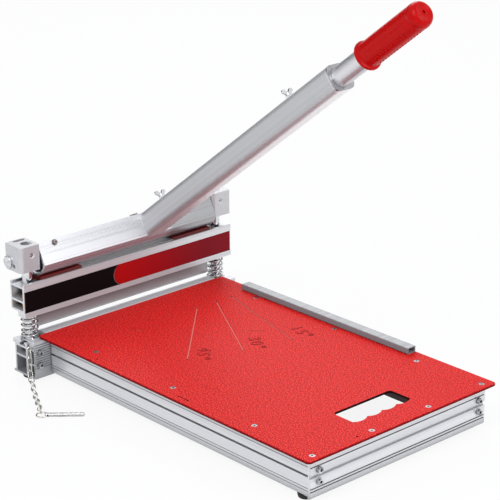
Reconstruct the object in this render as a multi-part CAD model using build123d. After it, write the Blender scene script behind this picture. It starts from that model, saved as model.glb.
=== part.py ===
from build123d import *
import math
import os

# A bench laminate cutter, in millimetres. X runs from the cutting head to the carry
# end of the table, Y from the operator's side to the fence side, and Z up. The origin
# is the centre of the table's top face.

# Shared clearances, and how far a cut runs past a face
overrun = 3.0
running_gap = 0.05
piece_gap = 0.3
hole_gap = 0.1

# Blade, whose length sets the width of the tool, and the distances beyond it
blade_length = 332.0
table_side_margin = 14.0
rail_side_inset = 13.0
blade_post_reach = 15.0
beam_end_reach = 19.0
cross_rail_inset = 3.5
lever_side_gap = 1.5
pad_near_gap = 14.0
pad_far_gap = 21.0

# Table plate
table_length = 569.0
table_thickness = 3.5
table_corner_radius = 6.0
table_edge_round = 0.8

# Countersunk screws of the table
table_screw_head = 8.6
table_screw_shank = 3.6
table_screw_length = 22.0
table_screw_sink = 0.3
table_screw_cone = 2.4
table_screw_socket = 2.8
table_screw_socket_depth = 1.4
side_screw_inset = 11.5
side_screw_shares = (-0.313, -0.0125, 0.2765)
end_screw_shares = (-0.45, -0.15, 0.15, 0.45)

# Angle grooves and small marks in the table's top
groove_width = 1.6
groove_depth = 1.0
groove_length = 196.0
groove_hole = 4.2
groove_start_share = -0.366
groove_rows_shares = ((45, 0.1733), (30, 0.280), (15, 0.366))
mark_length = 21.0
mark_rows_shares = ((45, -0.147, 0.1655), (45, -0.3686, -0.192), (0, 0.0329, -0.468))
gauge_hole = 3.2
gauge_hole_shares = ((-0.2754, -0.474), (0.0666, -0.468), (0.4796, -0.2267))

# Carry cut-out at the end of the table
carry_depth = 42.0
carry_width = 110.0
carry_end_margin = 41.5
carry_lobes = 4
carry_lobe_rise = 5.0
carry_corner_radius = 6.0

# Side rails
rail_depth = 30.0
rail_height = 58.0
rail_wall = 2.8
rail_corner_round = 7.5
rail_edge_round = 0.8
thin_groove_height = 1.0
thin_groove_depth = 0.8
thin_groove_shares = (0.216, 0.737, 0.808)
slot_mouth = 3.5
slot_lip = 1.6
slot_chamber_height = 7.0
slot_chamber_depth = 3.4
slot_height_share = 0.443
slot_block_wall = 2.0
port_screw_shares = (0.31, 0.593)
port_block = 9.0
port_depth = 14.0

# End plate
end_overhang = 9.5
end_plate_thickness = 5.5
end_flange_depth = 14.0
end_flange_thickness = 3.0
end_slot_mouth = 6.0
end_groove_height = 1.8
end_groove_depth = 1.6

# Cap screws with a hexagon socket, on the end plate and on the head
cap_head = 8.5
cap_head_length = 5.0
cap_shank = 5.0
cap_socket = 4.0
cap_socket_depth = 2.6
end_screw_length = 22.0

# Posts of the head
head_gap = 17.9
post_diameter = 17.0
post_chamfer = 0.8
post_thread = 12.0
post_nut_flats = 15.5
post_nut_height = 9.0

# Base beam under the blade
beam_depth = 34.0
base_beam_height = 52.0
base_beam_drop = 4.5
beam_flange = 5.0
beam_wall = 2.8
beam_rib = 3.0
beam_round = 1.5
base_slot_mouth = 8.0
base_slot_offset = 6.0
base_slot_lip = 2.2
base_slot_width = 13.6
base_slot_depth = 5.6
base_rib_share = 0.43

# Cross rail of the frame at the head
cross_rail_depth = 14.0
cross_rail_wall = 2.5
cross_rail_solid = 14.5
cross_groove_count = 11
cross_groove_pitch = 3.6
cross_groove_height = 1.3
cross_groove_depth = 0.9
cross_screw_inset = 8.5
cross_screw_shares = (0.3028, 0.633)
cross_screw_length = 20.0
corner_screw_length = 34.0

# Anvil strip in the base beam
anvil_setback = 16.0
anvil_round = 1.2

# Fence tube on the far edge of the table
fence_share = 0.6169
fence_centre_share = -0.0729
fence_width = 16.0
fence_edge_gap = 2.0
fence_height = 10.0
fence_wall = 1.5
fence_screw_shank = 4.0
fence_screw_head = 7.0
fence_screw_head_height = 2.4
fence_screw_inset = 8.8
fence_screw_shares = (-0.36, 0.36)

# Rubber feet
foot_diameter = 25.0
foot_taper = 1.5
foot_edge_round = 1.2
foot_height = 6.9
foot_recess = 12.0
foot_recess_depth = 3.5
foot_screw_head = 10.0
foot_screw_head_height = 2.6
foot_screw_shank = 5.0
foot_screw_bite = 7.0
head_foot_offset = 2.0
front_foot_inset = 15.0
front_foot_end_margin = 17.5

# Return springs round the posts
spring_outer = 26.5
spring_wire = 3.0
spring_turns = 5
spring_end_pitch = 3.6
spring_seat_diameter = 27.0
spring_seat_thickness = 1.5

# Upper beam, which carries the blade
beam_rest_height = 31.0
upper_beam_height = 51.5
label_recess_low = 8.0
label_recess_height = 32.5
label_recess_depth = 1.2
channel_depth = 3.5
channel_lip = 3.2
upper_floor = 3.0
upper_rib_share = 0.47
blade_wall = 7.5
bush_outer = 21.0
bush_length = 30.0
bush_flange = 1.5

# Label panels in the recess of the upper beam
label_thickness = 0.8
label_side_gap = 0.35
label_end_margin = 1.5
label_split_share = -0.055
label_lead = 12.0
label_line = 1.4

# Section of the blade, its clamp bar and screws
blade_thickness = 4.0
blade_setback = 0.5
blade_edge_height = 3.5
blade_bevel_height = 3.9
blade_land = 0.4
clamp_depth = 11.0
clamp_drop = 8.5
clamp_round = 2.0
blade_screw_shank = 5.0
blade_screw_head = 7.0
blade_screw_head_length = 4.0
blade_screw_shares = (-0.4, -0.2, 0.0, 0.2, 0.4)

# Wear pads in the top channel of the upper beam
pad_rise = 4.0
pad_length = 75.0
pad_round = 1.0
spacer_drop = 2.5

# End blocks on top of the posts
block_length = 38.0
block_width = 29.0
block_outer_margin = 6.5
block_height = 39.0
block_rest_gap = 17.2
block_front = 14.5
block_round = 3.0
block_front_round = 7.0
block_edge_round = 0.6
pocket_length = 8.0
pocket_width = 20.0
pocket_depth = 18.0
pocket_wall = 2.0
pocket_corner_share = 0.476
block_screw_rise = 24.0
block_screw = 6.0
block_screw_sink = 9.0
lock_hole = 6.4
lock_hole_rise = 8.0
lock_hole_offset = 2.1

# Pivot axle of the lever
axle_diameter = 10.0
axle_behind_post = 15.1
axle_rise = 11.7
axle_head = 18.5
axle_head_length = 3.0
axle_nut_flats = 16.0
axle_nut_height = 6.0
axle_thread_out = 1.5
washer_outer = 20.0
washer_thickness = 1.0

# Lever body with its cam
hub_radius = 11.0
cam_offset = 16.68
cam_angle = 12.5
cam_gap = 0.4
face_low_reach = 37.6
face_low_drop = 5.2
face_top_reach = 20.5
face_top_rise = 25.9
lever_wall = 4.0
axle_ring = 9.5
face_screw_inset = 29.0
face_screw_from_top = 6.5
face_screw_head = 6.5
face_screw_head_height = 2.6
face_screw_washer = 9.5
face_screw_washer_height = 0.9
face_screw_shank = 4.0
face_screw_length = 7.0
top_screw_place = 20.0
top_screw_pitch = 7.0

# Handle: outer tube, stub, liner, inner tube and grip
handle_offset = 43.7
handle_start_reach = 22.0
handle_start_rise = 3.6
handle_angle = 37.27
tube_size = 38.0
tube_corner = 10.0
tube_wall = 2.5
tube_end = 508.0
stub_end = 80.0
stub_bore = 16.0
stub_bolt = 6.0
stub_bolt_head = 10.0
stub_bolt_head_length = 4.0
stub_bolt_bite = 14.0
stub_bolt_edge = 2.5
liner_length = 28.0
liner_lip = 2.0
inner_tube_gap = 1.5
inner_tube_wall = 2.0
inner_tube_overlap = 178.0
guide_length = 12.0
grip_reach = 61.0
grip_length = 124.0
grip_wall = 4.0
grip_flange_rim = 2.5
grip_flange_length = 5.0
grip_bore_depth = 106.0
grip_end_round = 12.0
grip_vent = 3.0

# Wing screws of the handle
wing_lower_place = 57.5
wing_mouth_distance = 103.0
wing_nut_height = 5.0
wing_nut_flats = 10.0
wing_shank = 6.0
wing_collar = 8.0
wing_collar_height = 3.5
wing_span = 19.0
wing_height = 9.5
wing_thickness = 3.0
wing_stub_bite = 8.0

# Chain, its anchor, its ring and the locking pin
link_length = 14.0
link_width = 9.0
link_wire = 1.5
link_slack = 0.4
anchor_depth = 8.0
anchor_wire = 2.0
anchor_ring_radius = 3.5
anchor_drop = 9.5
anchor_from_face = 4.6
anchor_stand_off = 1.5
chain_run_shares = ((0.134, -0.074), (0.268, -0.145))
ring_radius = 8.0
ring_wire = 2.0
pin_diameter = 6.0
pin_length = 56.0
pin_hole = 3.4
pin_hole_inset = 4.0
pin_angle = 48.6
pin_tip_chamfer = 1.2

# Sizes and places that follow from the sizes above
table_width = blade_length + 2 * table_side_margin
rail_face = table_width / 2 - rail_side_inset
post_spacing = blade_length + 2 * blade_post_reach
beam_length = post_spacing + 2 * beam_end_reach
cross_rail_length = beam_length - 2 * cross_rail_inset
lever_length = post_spacing - block_width - 2 * lever_side_gap
stub_bolt_pitch = tube_size - 2 * tube_wall - stub_bolt - 2 * stub_bolt_edge
face_screw_place = lever_length / 2 - face_screw_inset
pad_near_end = post_spacing / 2 - pad_near_gap
pad_far_end = post_spacing / 2 - pad_far_gap
fence_length = fence_share * table_length
inner_tube_start = tube_end - inner_tube_overlap
inner_tube_diameter = tube_size - 2 * tube_wall - 2 * inner_tube_gap
grip_diameter = inner_tube_diameter + 2 * grip_wall
grip_flange_diameter = grip_diameter + 2 * grip_flange_rim
grip_start = tube_end + grip_reach
wing_upper_place = tube_end - wing_mouth_distance
table_end = table_length / 2
table_side = table_width / 2
frame_top = -table_thickness
frame_bottom = frame_top - rail_height
base_top = frame_top - base_beam_drop
floor_height = min(base_top - base_beam_height, frame_bottom) - foot_height
post_x = -table_end - head_gap
post_y = post_spacing / 2
beam_front = post_x + beam_depth / 2
cross_rail_front = beam_front + cross_rail_depth
end_face = table_end - end_overhang
rail_end = end_face - end_plate_thickness
beam_bottom = beam_rest_height
beam_top = beam_bottom + upper_beam_height
pad_top = beam_top + pad_rise
channel_floor = beam_top - channel_depth
block_bottom = beam_top + block_rest_gap
block_top = block_bottom + block_height
axle_x = post_x - axle_behind_post
axle_z = block_bottom + axle_rise
cam_x = axle_x + cam_offset * math.cos(math.radians(cam_angle))
cam_z = axle_z - cam_offset * math.sin(math.radians(cam_angle))
cam_radius = cam_z - pad_top - cam_gap
seat_top = base_top + spring_seat_thickness
bush_bottom = beam_bottom - bush_flange
handle_origin = Vector(axle_x + handle_start_reach, handle_offset, axle_z + handle_start_rise)


def cylinder(radius, length, place, direction=(0, 0, 1)):
    """A round bar of a length that starts at a place and runs in a direction."""
    bar = Cylinder(radius, length, align=(Align.CENTER, Align.CENTER, Align.MIN))
    return Plane(origin=place, z_dir=direction) * bar


def block(x_range, y_range, z_range):
    """A box between two values on each axis."""
    sizes = [high - low for low, high in (x_range, y_range, z_range)]
    middle = [(low + high) / 2 for low, high in (x_range, y_range, z_range)]
    return Pos(*middle) * Box(*sizes)


def rectangle(x_range, z_range, radius=0.0):
    """A flat rectangle between two values on each axis, with round corners."""
    width = x_range[1] - x_range[0]
    height = z_range[1] - z_range[0]
    middle = Pos((x_range[0] + x_range[1]) / 2, (z_range[0] + z_range[1]) / 2)
    if radius > 0:
        return middle * RectangleRounded(width, height, radius)
    return middle * Rectangle(width, height)


def along_y(section, low, high):
    """A bar along Y from a section drawn in X and Z."""
    return Pos(0, high, 0) * extrude(Plane.XZ * section, amount=high - low)


def along_x(section, low, high):
    """A bar along X from a section drawn in Y and Z."""
    return Pos(low, 0, 0) * extrude(Plane.YZ * section, amount=high - low)


def hexagon(flats, length, place, direction=(0, 0, 1)):
    """A six-sided bar that starts at a place and runs in a direction."""
    sketch = RegularPolygon(flats / 2, 6, major_radius=False, rotation=30)
    return Plane(origin=place, z_dir=direction) * extrude(sketch, amount=length)


def group(pieces):
    """Separate solids kept together as one node."""
    solids = []
    for piece in pieces:
        solids.extend(piece.solids())
    return Compound(children=solids)


def write(name, shape):
    """Write one node to its file and print what it holds."""
    export_step(shape, f"parts/{name}.step")
    print(name, len(shape.solids()), round(shape.volume))


def table_screw_places():
    """Places of the table's countersunk screws, along both sides and the end."""
    side_y = rail_face - side_screw_inset
    places = [(share * table_length, side * side_y)
              for share in side_screw_shares for side in (-1, 1)]
    end_x = end_face - end_plate_thickness / 2
    places += [(end_x, share * table_width) for share in end_screw_shares]
    return places


def bar_cut(start, angle, length, width, depth):
    """A round-ended groove cut in the table's top from a start point at an angle."""
    slot = SlotOverall(length + width, width)
    turned = Pos(start[0], start[1]) * Rot(0, 0, -angle) * Pos(length / 2, 0) * slot
    return extrude(turned, amount=-depth)


def carry_opening():
    """The carry cut-out, with finger lobes on its outer edge."""
    crown = table_end - carry_end_margin
    inner = crown - carry_depth
    lobe_line = crown - carry_lobe_rise
    half = carry_width / 2
    pitch = carry_width / carry_lobes
    edges = []
    for index in range(carry_lobes):
        low = (lobe_line, -half + index * pitch)
        middle = (crown, -half + (index + 0.5) * pitch)
        high = (lobe_line, -half + (index + 1) * pitch)
        edges.append(ThreePointArc(low, middle, high))
    corner = carry_corner_radius
    edges.append(Line((lobe_line, half), (inner + corner, half)))
    edges.append(TangentArc((inner + corner, half), (inner, half - corner), tangent=(-1, 0)))
    edges.append(Line((inner, half - corner), (inner, corner - half)))
    edges.append(TangentArc((inner, corner - half), (inner + corner, -half), tangent=(0, -1)))
    edges.append(Line((inner + corner, -half), (lobe_line, -half)))
    return make_face(edges)


def table_plate():
    """The steel table with its screw holes, grooves and carry cut-out."""
    outline = RectangleRounded(table_length, table_width, table_corner_radius)
    plate = extrude(outline, amount=-table_thickness)
    plate = chamfer(plate.faces().sort_by(Axis.Z)[-1].edges(), table_edge_round)
    cuts = []
    shank = table_screw_shank / 2 + running_gap
    head = table_screw_head / 2 + running_gap
    for x, y in table_screw_places():
        cuts.append(cylinder(shank, table_thickness + overrun, (x, y, frame_top - overrun)))
        cone_top = -table_screw_sink
        cone = Cone(shank, head, table_screw_cone, align=(Align.CENTER, Align.CENTER, Align.MAX))
        cuts.append(Pos(x, y, cone_top) * cone)
        cuts.append(cylinder(head, table_screw_sink + overrun, (x, y, cone_top)))
    start_x = groove_start_share * table_length
    for angle, share in groove_rows_shares:
        start = (start_x, share * table_width)
        cuts.append(bar_cut(start, angle, groove_length, groove_width, groove_depth))
        turn = math.radians(angle)
        for reach in (0, groove_length):
            x = start[0] + reach * math.cos(turn)
            y = start[1] - reach * math.sin(turn)
            cuts.append(cylinder(groove_hole / 2, groove_depth * 2, (x, y, -groove_depth * 2)))
    for angle, share_x, share_y in mark_rows_shares:
        start = (share_x * table_length, share_y * table_width)
        cuts.append(bar_cut(start, -angle, mark_length, groove_width, groove_depth / 2))
    for share_x, share_y in gauge_hole_shares:
        place = (share_x * table_length, share_y * table_width, -groove_depth * 2)
        cuts.append(cylinder(gauge_hole / 2, groove_depth * 2, place))
    for x, y in fence_screw_places():
        hole = fence_screw_shank / 2 + running_gap
        cuts.append(cylinder(hole, table_thickness + overrun * 2, (x, y, frame_top - overrun)))
    cuts.append(extrude(carry_opening(), amount=-table_thickness - overrun))
    return plate - cuts


def table_screws():
    """Countersunk screws that hold the table on the frame."""
    screws = []
    for x, y in table_screw_places():
        top = -table_screw_sink
        shank = cylinder(table_screw_shank / 2, table_screw_length, (x, y, top - table_screw_length))
        cone = Cone(table_screw_shank / 2, table_screw_head / 2, table_screw_cone,
                    align=(Align.CENTER, Align.CENTER, Align.MAX))
        socket = hexagon(table_screw_socket, overrun, (x, y, top - table_screw_socket_depth))
        screws.append(shank + Pos(x, y, top) * cone - socket)
    return group(screws)


def face_grooves(face, top, height, side):
    """Grooves of the frame's outer face, and its slot, as cuts in a section."""
    cuts = Sketch()
    for share in thin_groove_shares:
        level = top - share * height
        depth = (face - side * thin_groove_depth, face + side * overrun)
        cuts += rectangle(sorted(depth), (level - thin_groove_height / 2, level + thin_groove_height / 2))
    level = top - slot_height_share * height
    mouth = sorted((face - side * (slot_lip + slot_chamber_depth), face + side * overrun))
    cuts += rectangle(mouth, (level - slot_mouth / 2, level + slot_mouth / 2))
    return cuts


def slot_chamber(face, top, height, side, wall=0.0):
    """The wide inner part of the slot, or the block that surrounds it."""
    level = top - slot_height_share * height
    half = slot_chamber_height / 2 + wall
    deep = face - side * (slot_lip + slot_chamber_depth + wall)
    start = face - side * slot_lip
    if wall > 0:
        start = face - side * rail_wall / 2
    return rectangle(sorted((deep, start)), (level - half, level + half))


def port_levels():
    """Heights of the screw ports in the side rails."""
    return [frame_top - share * rail_height for share in port_screw_shares]


def side_rail_section():
    """Section of a side rail with its outer face towards +Y."""
    inner_face = rail_face - rail_depth
    section = rectangle((inner_face, rail_face), (frame_bottom, frame_top))
    corner = section.vertices().sort_by(Axis.Y)[:2].sort_by(Axis.X)[-1:]
    section = fillet(corner, rail_corner_round)
    chamber = rectangle((inner_face + rail_wall, rail_face - rail_wall),
                        (frame_bottom + rail_wall, frame_top - rail_wall), rail_wall)
    section -= chamber
    port_y = rail_face - port_depth
    for level in port_levels():
        ports = rectangle((inner_face + rail_wall / 2, port_y + port_block / 2),
                          (level - port_block / 2, level + port_block / 2))
        section += ports
    section += slot_chamber(rail_face, frame_top, rail_height, 1, slot_block_wall)
    lower = rectangle((rail_face - rail_corner_round, rail_face),
                      (frame_bottom, frame_bottom + rail_corner_round))
    heel = Pos(rail_face - rail_corner_round, frame_bottom + rail_corner_round)
    section += (lower & (heel * Circle(rail_corner_round))) - heel * Circle(rail_corner_round - rail_wall)
    section -= slot_chamber(rail_face, frame_top, rail_height, 1)
    section -= face_grooves(rail_face, frame_top, rail_height, 1)
    for level in port_levels():
        section -= Pos(port_y, level) * Circle(cap_shank / 2 + running_gap)
    return section


def side_rail_far():
    """The side rail under the fence side of the table."""
    rail = along_x(side_rail_section(), cross_rail_front, rail_end)
    cuts = []
    for x, y in table_screw_places():
        if 0 < y < rail_face and x < rail_end:
            hole = table_screw_shank / 2 + running_gap
            cuts.append(cylinder(hole, table_screw_length + overrun,
                                 (x, y, frame_top - table_screw_length)))
    x, y = front_foot_place(1)
    cuts.append(cylinder(foot_screw_shank / 2 + running_gap, foot_screw_bite + overrun,
                         (x, y, frame_bottom - overrun)))
    return rail - cuts


def front_foot_place(side):
    """Centre of a foot under the end of a side rail."""
    return (rail_end - front_foot_end_margin, side * (rail_face - front_foot_inset))


def head_foot_place(side):
    """Centre of a foot under the base beam."""
    return (post_x, side * (post_y + head_foot_offset))


def end_plate():
    """The end plate, with the same grooves on its face as the side rails."""
    section = rectangle((rail_end, end_face), (frame_bottom, frame_top))
    corner = section.vertices().sort_by(Axis.Y)[:2].sort_by(Axis.X)[-1:]
    section = fillet(corner, end_plate_thickness - rail_edge_round)
    level = frame_top - slot_height_share * rail_height
    section -= rectangle((end_face - slot_chamber_depth, end_face + overrun),
                         (level - end_slot_mouth / 2, level + end_slot_mouth / 2))
    for share in thin_groove_shares:
        height = frame_top - share * rail_height
        section -= rectangle((end_face - end_groove_depth, end_face + overrun),
                             (height - end_groove_height / 2, height + end_groove_height / 2))
    plate = along_y(section, -rail_face, rail_face)
    inner_side = rail_face - rail_depth - piece_gap
    plate += block((rail_end - end_flange_depth, rail_end + piece_gap), (-inner_side, inner_side),
                   (frame_top - end_flange_thickness, frame_top))
    cuts = []
    for x, y in table_screw_places():
        if x > rail_end:
            hole = table_screw_shank / 2 + running_gap
            cuts.append(cylinder(hole, table_screw_length + overrun,
                                 (x, y, frame_top - table_screw_length)))
    for place in end_screw_places():
        cuts.append(cylinder(cap_shank / 2 + running_gap, end_plate_thickness + overrun * 2,
                             place + Vector(-end_plate_thickness - overrun, 0, 0), (1, 0, 0)))
    return plate - cuts


def end_screw_places():
    """Places of the cap screws on the end plate's face."""
    reach = rail_face - port_depth
    return [Vector(end_face, side * reach, level) for side in (-1, 1) for level in port_levels()]


def cap_screw(place, direction, length):
    """A cap screw whose head stands on a face, with a hexagon socket."""
    way = Vector(*direction)
    head = cylinder(cap_head / 2, cap_head_length, place, direction)
    shank = cylinder(cap_shank / 2, length, place - way * length, direction)
    socket = hexagon(cap_socket, overrun + cap_socket_depth,
                     place + way * (cap_head_length - cap_socket_depth), direction)
    return head + shank - socket


def end_plate_screws():
    """Cap screws that hold the end plate on the side rails."""
    return group([cap_screw(place, (1, 0, 0), end_screw_length) for place in end_screw_places()])


def cross_rail_section():
    """Section of the cross rail, with ribs on its front face."""
    section = rectangle((beam_front, cross_rail_front), (frame_bottom, frame_top))
    solid_bottom = frame_top - cross_rail_solid
    middle = (frame_bottom + solid_bottom) / 2
    inner = (beam_front + cross_rail_wall, cross_rail_front - cross_rail_wall)
    section -= rectangle(inner, (frame_bottom + cross_rail_wall, middle - cross_rail_wall / 2), beam_round)
    section -= rectangle(inner, (middle + cross_rail_wall / 2, solid_bottom), beam_round)
    for index in range(cross_groove_count):
        level = frame_top - (index + 1.5) * cross_groove_pitch
        section -= rectangle((cross_rail_front - cross_groove_depth, cross_rail_front + overrun),
                             (level - cross_groove_height / 2, level + cross_groove_height / 2))
    return section


def cross_screw_places():
    """Places of the cap screws near both ends of the cross rail."""
    reach = cross_rail_length / 2 - cross_screw_inset
    return [Vector(cross_rail_front, side * reach, frame_top - share * rail_height)
            for side in (-1, 1) for share in cross_screw_shares]


def corner_screw_places():
    """Places of the flat screws that join the cross rail and the side rails."""
    reach = rail_face - port_depth
    return [Vector(beam_front, side * reach, level) for side in (-1, 1) for level in port_levels()]


def head_cross_rail():
    """The cross rail between the base beam and the side rails."""
    half = cross_rail_length / 2
    rail = along_y(cross_rail_section(), -half, half)
    cuts = []
    for place in cross_screw_places():
        cuts.append(cylinder(cap_shank / 2 + running_gap, cross_rail_depth + overrun * 2,
                             place + Vector(-cross_rail_depth - overrun, 0, 0), (1, 0, 0)))
    for place in corner_screw_places():
        cuts.append(cylinder(cap_shank / 2 + running_gap, cross_rail_depth + overrun * 2,
                             place + Vector(-overrun, 0, 0), (1, 0, 0)))
        cone = Cone(cap_head / 2 + running_gap, cap_shank / 2, cross_rail_wall,
                    align=(Align.CENTER, Align.CENTER, Align.MIN))
        cuts.append(Plane(origin=place, z_dir=(1, 0, 0)) * cone)
    cuts.append(cylinder(anchor_wire / 2 + running_gap, anchor_depth,
                         (anchor_x(), -half, anchor_z()), (0, 1, 0)))
    return rail - cuts


def corner_screws():
    """Flat-head screws from the back of the cross rail into the side rails."""
    screws = []
    for place in corner_screw_places():
        shank = cylinder(cap_shank / 2, corner_screw_length, place, (1, 0, 0))
        cone = Cone(cap_head / 2, cap_shank / 2, cross_rail_wall,
                    align=(Align.CENTER, Align.CENTER, Align.MIN))
        socket = hexagon(cap_socket, cap_socket_depth, place, (1, 0, 0))
        screws.append(shank + Plane(origin=place, z_dir=(1, 0, 0)) * cone - socket)
    return group(screws)


def cross_screws():
    """Cap screws from the cross rail's face into the base beam."""
    return group([cap_screw(place, (1, 0, 0), cross_screw_length) for place in cross_screw_places()])


def base_beam_section():
    """Section of the beam under the blade, with its slot and two chambers."""
    bottom = base_top - base_beam_height
    back = post_x - beam_depth / 2
    web = back + beam_flange
    section = rectangle((web, beam_front), (bottom, base_top))
    section += rectangle((back, beam_front), (base_top - beam_rib * 2, base_top))
    section += rectangle((back, beam_front), (bottom, bottom + beam_rib))
    rib = bottom + base_beam_height * (1 - base_rib_share)
    roof = base_top - base_slot_depth - beam_rib
    inner = (web + beam_wall, beam_front - beam_wall)
    section -= rectangle(inner, (rib + beam_rib / 2, roof), beam_round)
    section -= rectangle(inner, (bottom + beam_rib, rib - beam_rib / 2), beam_round)
    section -= rectangle((back - overrun, web), (bottom + beam_rib, base_top - beam_rib * 2))
    middle = post_x + base_slot_offset
    section -= rectangle((middle - base_slot_mouth / 2, middle + base_slot_mouth / 2),
                         (base_top - base_slot_depth, base_top + overrun))
    section -= rectangle((middle - base_slot_width / 2, middle + base_slot_width / 2),
                         (base_top - base_slot_depth, base_top - base_slot_lip))
    return section


def base_beam():
    """The hollow beam across the head, under the blade."""
    half = beam_length / 2
    bottom = base_top - base_beam_height
    beam = along_y(base_beam_section(), -half, half)
    cuts = []
    for side in (-1, 1):
        shoulder = post_nut_top() + beam_rib
        cuts.append(cylinder(post_diameter / 2 + running_gap, base_beam_height,
                             (post_x, side * post_y, shoulder)))
        cuts.append(cylinder(post_thread / 2 + running_gap, beam_rib + overrun,
                             (post_x, side * post_y, shoulder - beam_rib - overrun)))
        x, y = head_foot_place(side)
        cuts.append(cylinder(foot_screw_shank / 2 + running_gap, beam_rib + overrun,
                             (x, y, bottom - overrun)))
    for place in cross_screw_places():
        cuts.append(cylinder(cap_shank / 2 + running_gap, cross_screw_length,
                             place + Vector(-cross_screw_length, 0, 0), (1, 0, 0)))
    return beam - cuts


def post_nut_top():
    """Height of the underside of the base beam's middle rib."""
    bottom = base_top - base_beam_height
    return bottom + base_beam_height * (1 - base_rib_share) - beam_rib / 2


def post(side):
    """A post of the head, from the base beam to the top of its end block."""
    shoulder = post_nut_top() + beam_rib
    bar = cylinder(post_diameter / 2, block_top - table_screw_sink - shoulder,
                   (post_x, side * post_y, shoulder))
    bar = chamfer(bar.edges().filter_by(GeomType.CIRCLE), post_chamfer)
    thread = beam_rib + post_nut_height
    bar += cylinder(post_thread / 2, thread, (post_x, side * post_y, shoulder - thread))
    if side < 0:
        hole = post_diameter + overrun * 2
        place = (post_x - lock_hole_offset, side * post_y - hole / 2, block_bottom + lock_hole_rise)
        bar -= cylinder(lock_hole / 2, hole, place, (0, 1, 0))
    return bar


def post_nuts():
    """Nuts on the lower ends of the posts, inside the base beam."""
    nuts = []
    for side in (-1, 1):
        place = (post_x, side * post_y, post_nut_top() - post_nut_height)
        bore = cylinder(post_thread / 2 + running_gap, post_nut_height, place)
        nuts.append(hexagon(post_nut_flats, post_nut_height, place) - bore)
    return group(nuts)


def anvil_strip():
    """The strip that the blade cuts against, with its foot in the beam's slot."""
    low = beam_front - anvil_setback
    bar = rectangle((low, beam_front), (base_top, 0))
    bar = fillet(bar.vertices().sort_by(Axis.Y)[-2:], anvil_round)
    middle = post_x + base_slot_offset
    neck = base_slot_mouth / 2 - running_gap
    foot = base_slot_width / 2 - running_gap
    bar += rectangle((middle - neck, middle + neck), (base_top - base_slot_depth, base_top))
    bar += rectangle((middle - foot, middle + foot),
                     (base_top - base_slot_depth, base_top - base_slot_lip - running_gap))
    return along_y(bar, -blade_length / 2, blade_length / 2)


def fence_screw_places():
    """Places of the screws that hold the fence tube."""
    centre = fence_centre_share * table_length
    y = table_side - fence_screw_inset
    return [(centre + share * fence_length, y) for share in fence_screw_shares]


def fence_tube():
    """The flat tube along the far edge of the table."""
    high = table_side - fence_edge_gap
    low = high - fence_width
    outline = rectangle((low, high), (0, fence_height), fence_wall)
    outline -= rectangle((low + fence_wall, high - fence_wall),
                         (fence_wall, fence_height - fence_wall), fence_wall / 2)
    centre = fence_centre_share * table_length
    tube = along_x(outline, centre - fence_length / 2, centre + fence_length / 2)
    hole = fence_screw_shank / 2 + running_gap
    return tube - [cylinder(hole, fence_height / 2, (x, y, 0)) for x, y in fence_screw_places()]


def fence_screws():
    """Screws from under the table into the fence tube."""
    screws = []
    for x, y in fence_screw_places():
        head = cylinder(fence_screw_head / 2, fence_screw_head_height,
                        (x, y, frame_top - fence_screw_head_height))
        shank = cylinder(fence_screw_shank / 2, table_thickness + fence_wall * 2, (x, y, frame_top))
        socket = hexagon(table_screw_socket, table_screw_socket_depth + overrun,
                         (x, y, frame_top - fence_screw_head_height - overrun))
        screws.append(head + shank - socket)
    return group(screws)


def foot(x, y, seat):
    """A tapered rubber foot with a recess for its screw."""
    height = seat - floor_height
    radius = foot_diameter / 2
    pad = Cone(radius - foot_taper, radius, height, align=(Align.CENTER, Align.CENTER, Align.MIN))
    pad = fillet(pad.faces().sort_by(Axis.Z)[0].edges(), foot_edge_round)
    pad = Pos(x, y, floor_height) * pad
    pad -= cylinder(foot_recess / 2, foot_recess_depth + overrun, (x, y, floor_height - overrun))
    return pad - cylinder(foot_screw_shank / 2 + running_gap, height, (x, y, floor_height))


def foot_seats():
    """Place and seat height of each foot, by name."""
    seats = {}
    for name, side in (("near", -1), ("far", 1)):
        seats[f"foot_head_{name}"] = (*head_foot_place(side), base_top - base_beam_height)
        seats[f"foot_front_{name}"] = (*front_foot_place(side), frame_bottom)
    return seats


def foot_screws():
    """Screws that hold the feet, with their heads inside the rubber."""
    screws = []
    for x, y, seat in foot_seats().values():
        head_low = floor_height + foot_recess_depth - foot_screw_head_height
        head = cylinder(foot_screw_head / 2, foot_screw_head_height, (x, y, head_low))
        top = seat + beam_rib - running_gap
        shank = cylinder(foot_screw_shank / 2, top - head_low, (x, y, head_low))
        socket = hexagon(table_screw_socket, table_screw_socket_depth + overrun,
                         (x, y, head_low - overrun))
        screws.append(head + shank - socket)
    return group(screws)


def spring_height(angle):
    """Height above its lower end of the spring's wire centre at an angle in turns."""
    free = bush_bottom - seat_top - spring_wire - piece_gap * 2
    middle_turns = spring_turns - 2
    middle_pitch = (free - spring_end_pitch * 2) / middle_turns
    blend = 0.25
    height = 0.0
    steps = max(1, round(angle * 8))
    for step in range(steps):
        turn = (step + 0.5) * angle / steps
        from_end = min(turn, spring_turns - turn)
        share = min(1.0, max(0.0, (from_end - 1 + blend) / (2 * blend)))
        height += (spring_end_pitch + share * (middle_pitch - spring_end_pitch)) * angle / steps
    return height


def spring_points():
    """Points and tangents of the spring's centre line, four to a turn."""
    radius = (spring_outer - spring_wire) / 2
    points = []
    tangents = []
    count = spring_turns * 4
    for index in range(count + 1):
        turn = index / 4
        angle = 2 * math.pi * turn
        low = spring_height(max(0.0, turn - 0.125))
        high = spring_height(min(spring_turns, turn + 0.125))
        span = min(spring_turns, turn + 0.125) - max(0.0, turn - 0.125)
        rise = (high - low) / (2 * math.pi * span)
        points.append(Vector(radius * math.cos(angle), radius * math.sin(angle), spring_height(turn)))
        tangents.append(Vector(-radius * math.sin(angle), radius * math.cos(angle), rise).normalized())
    return points, tangents


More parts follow.
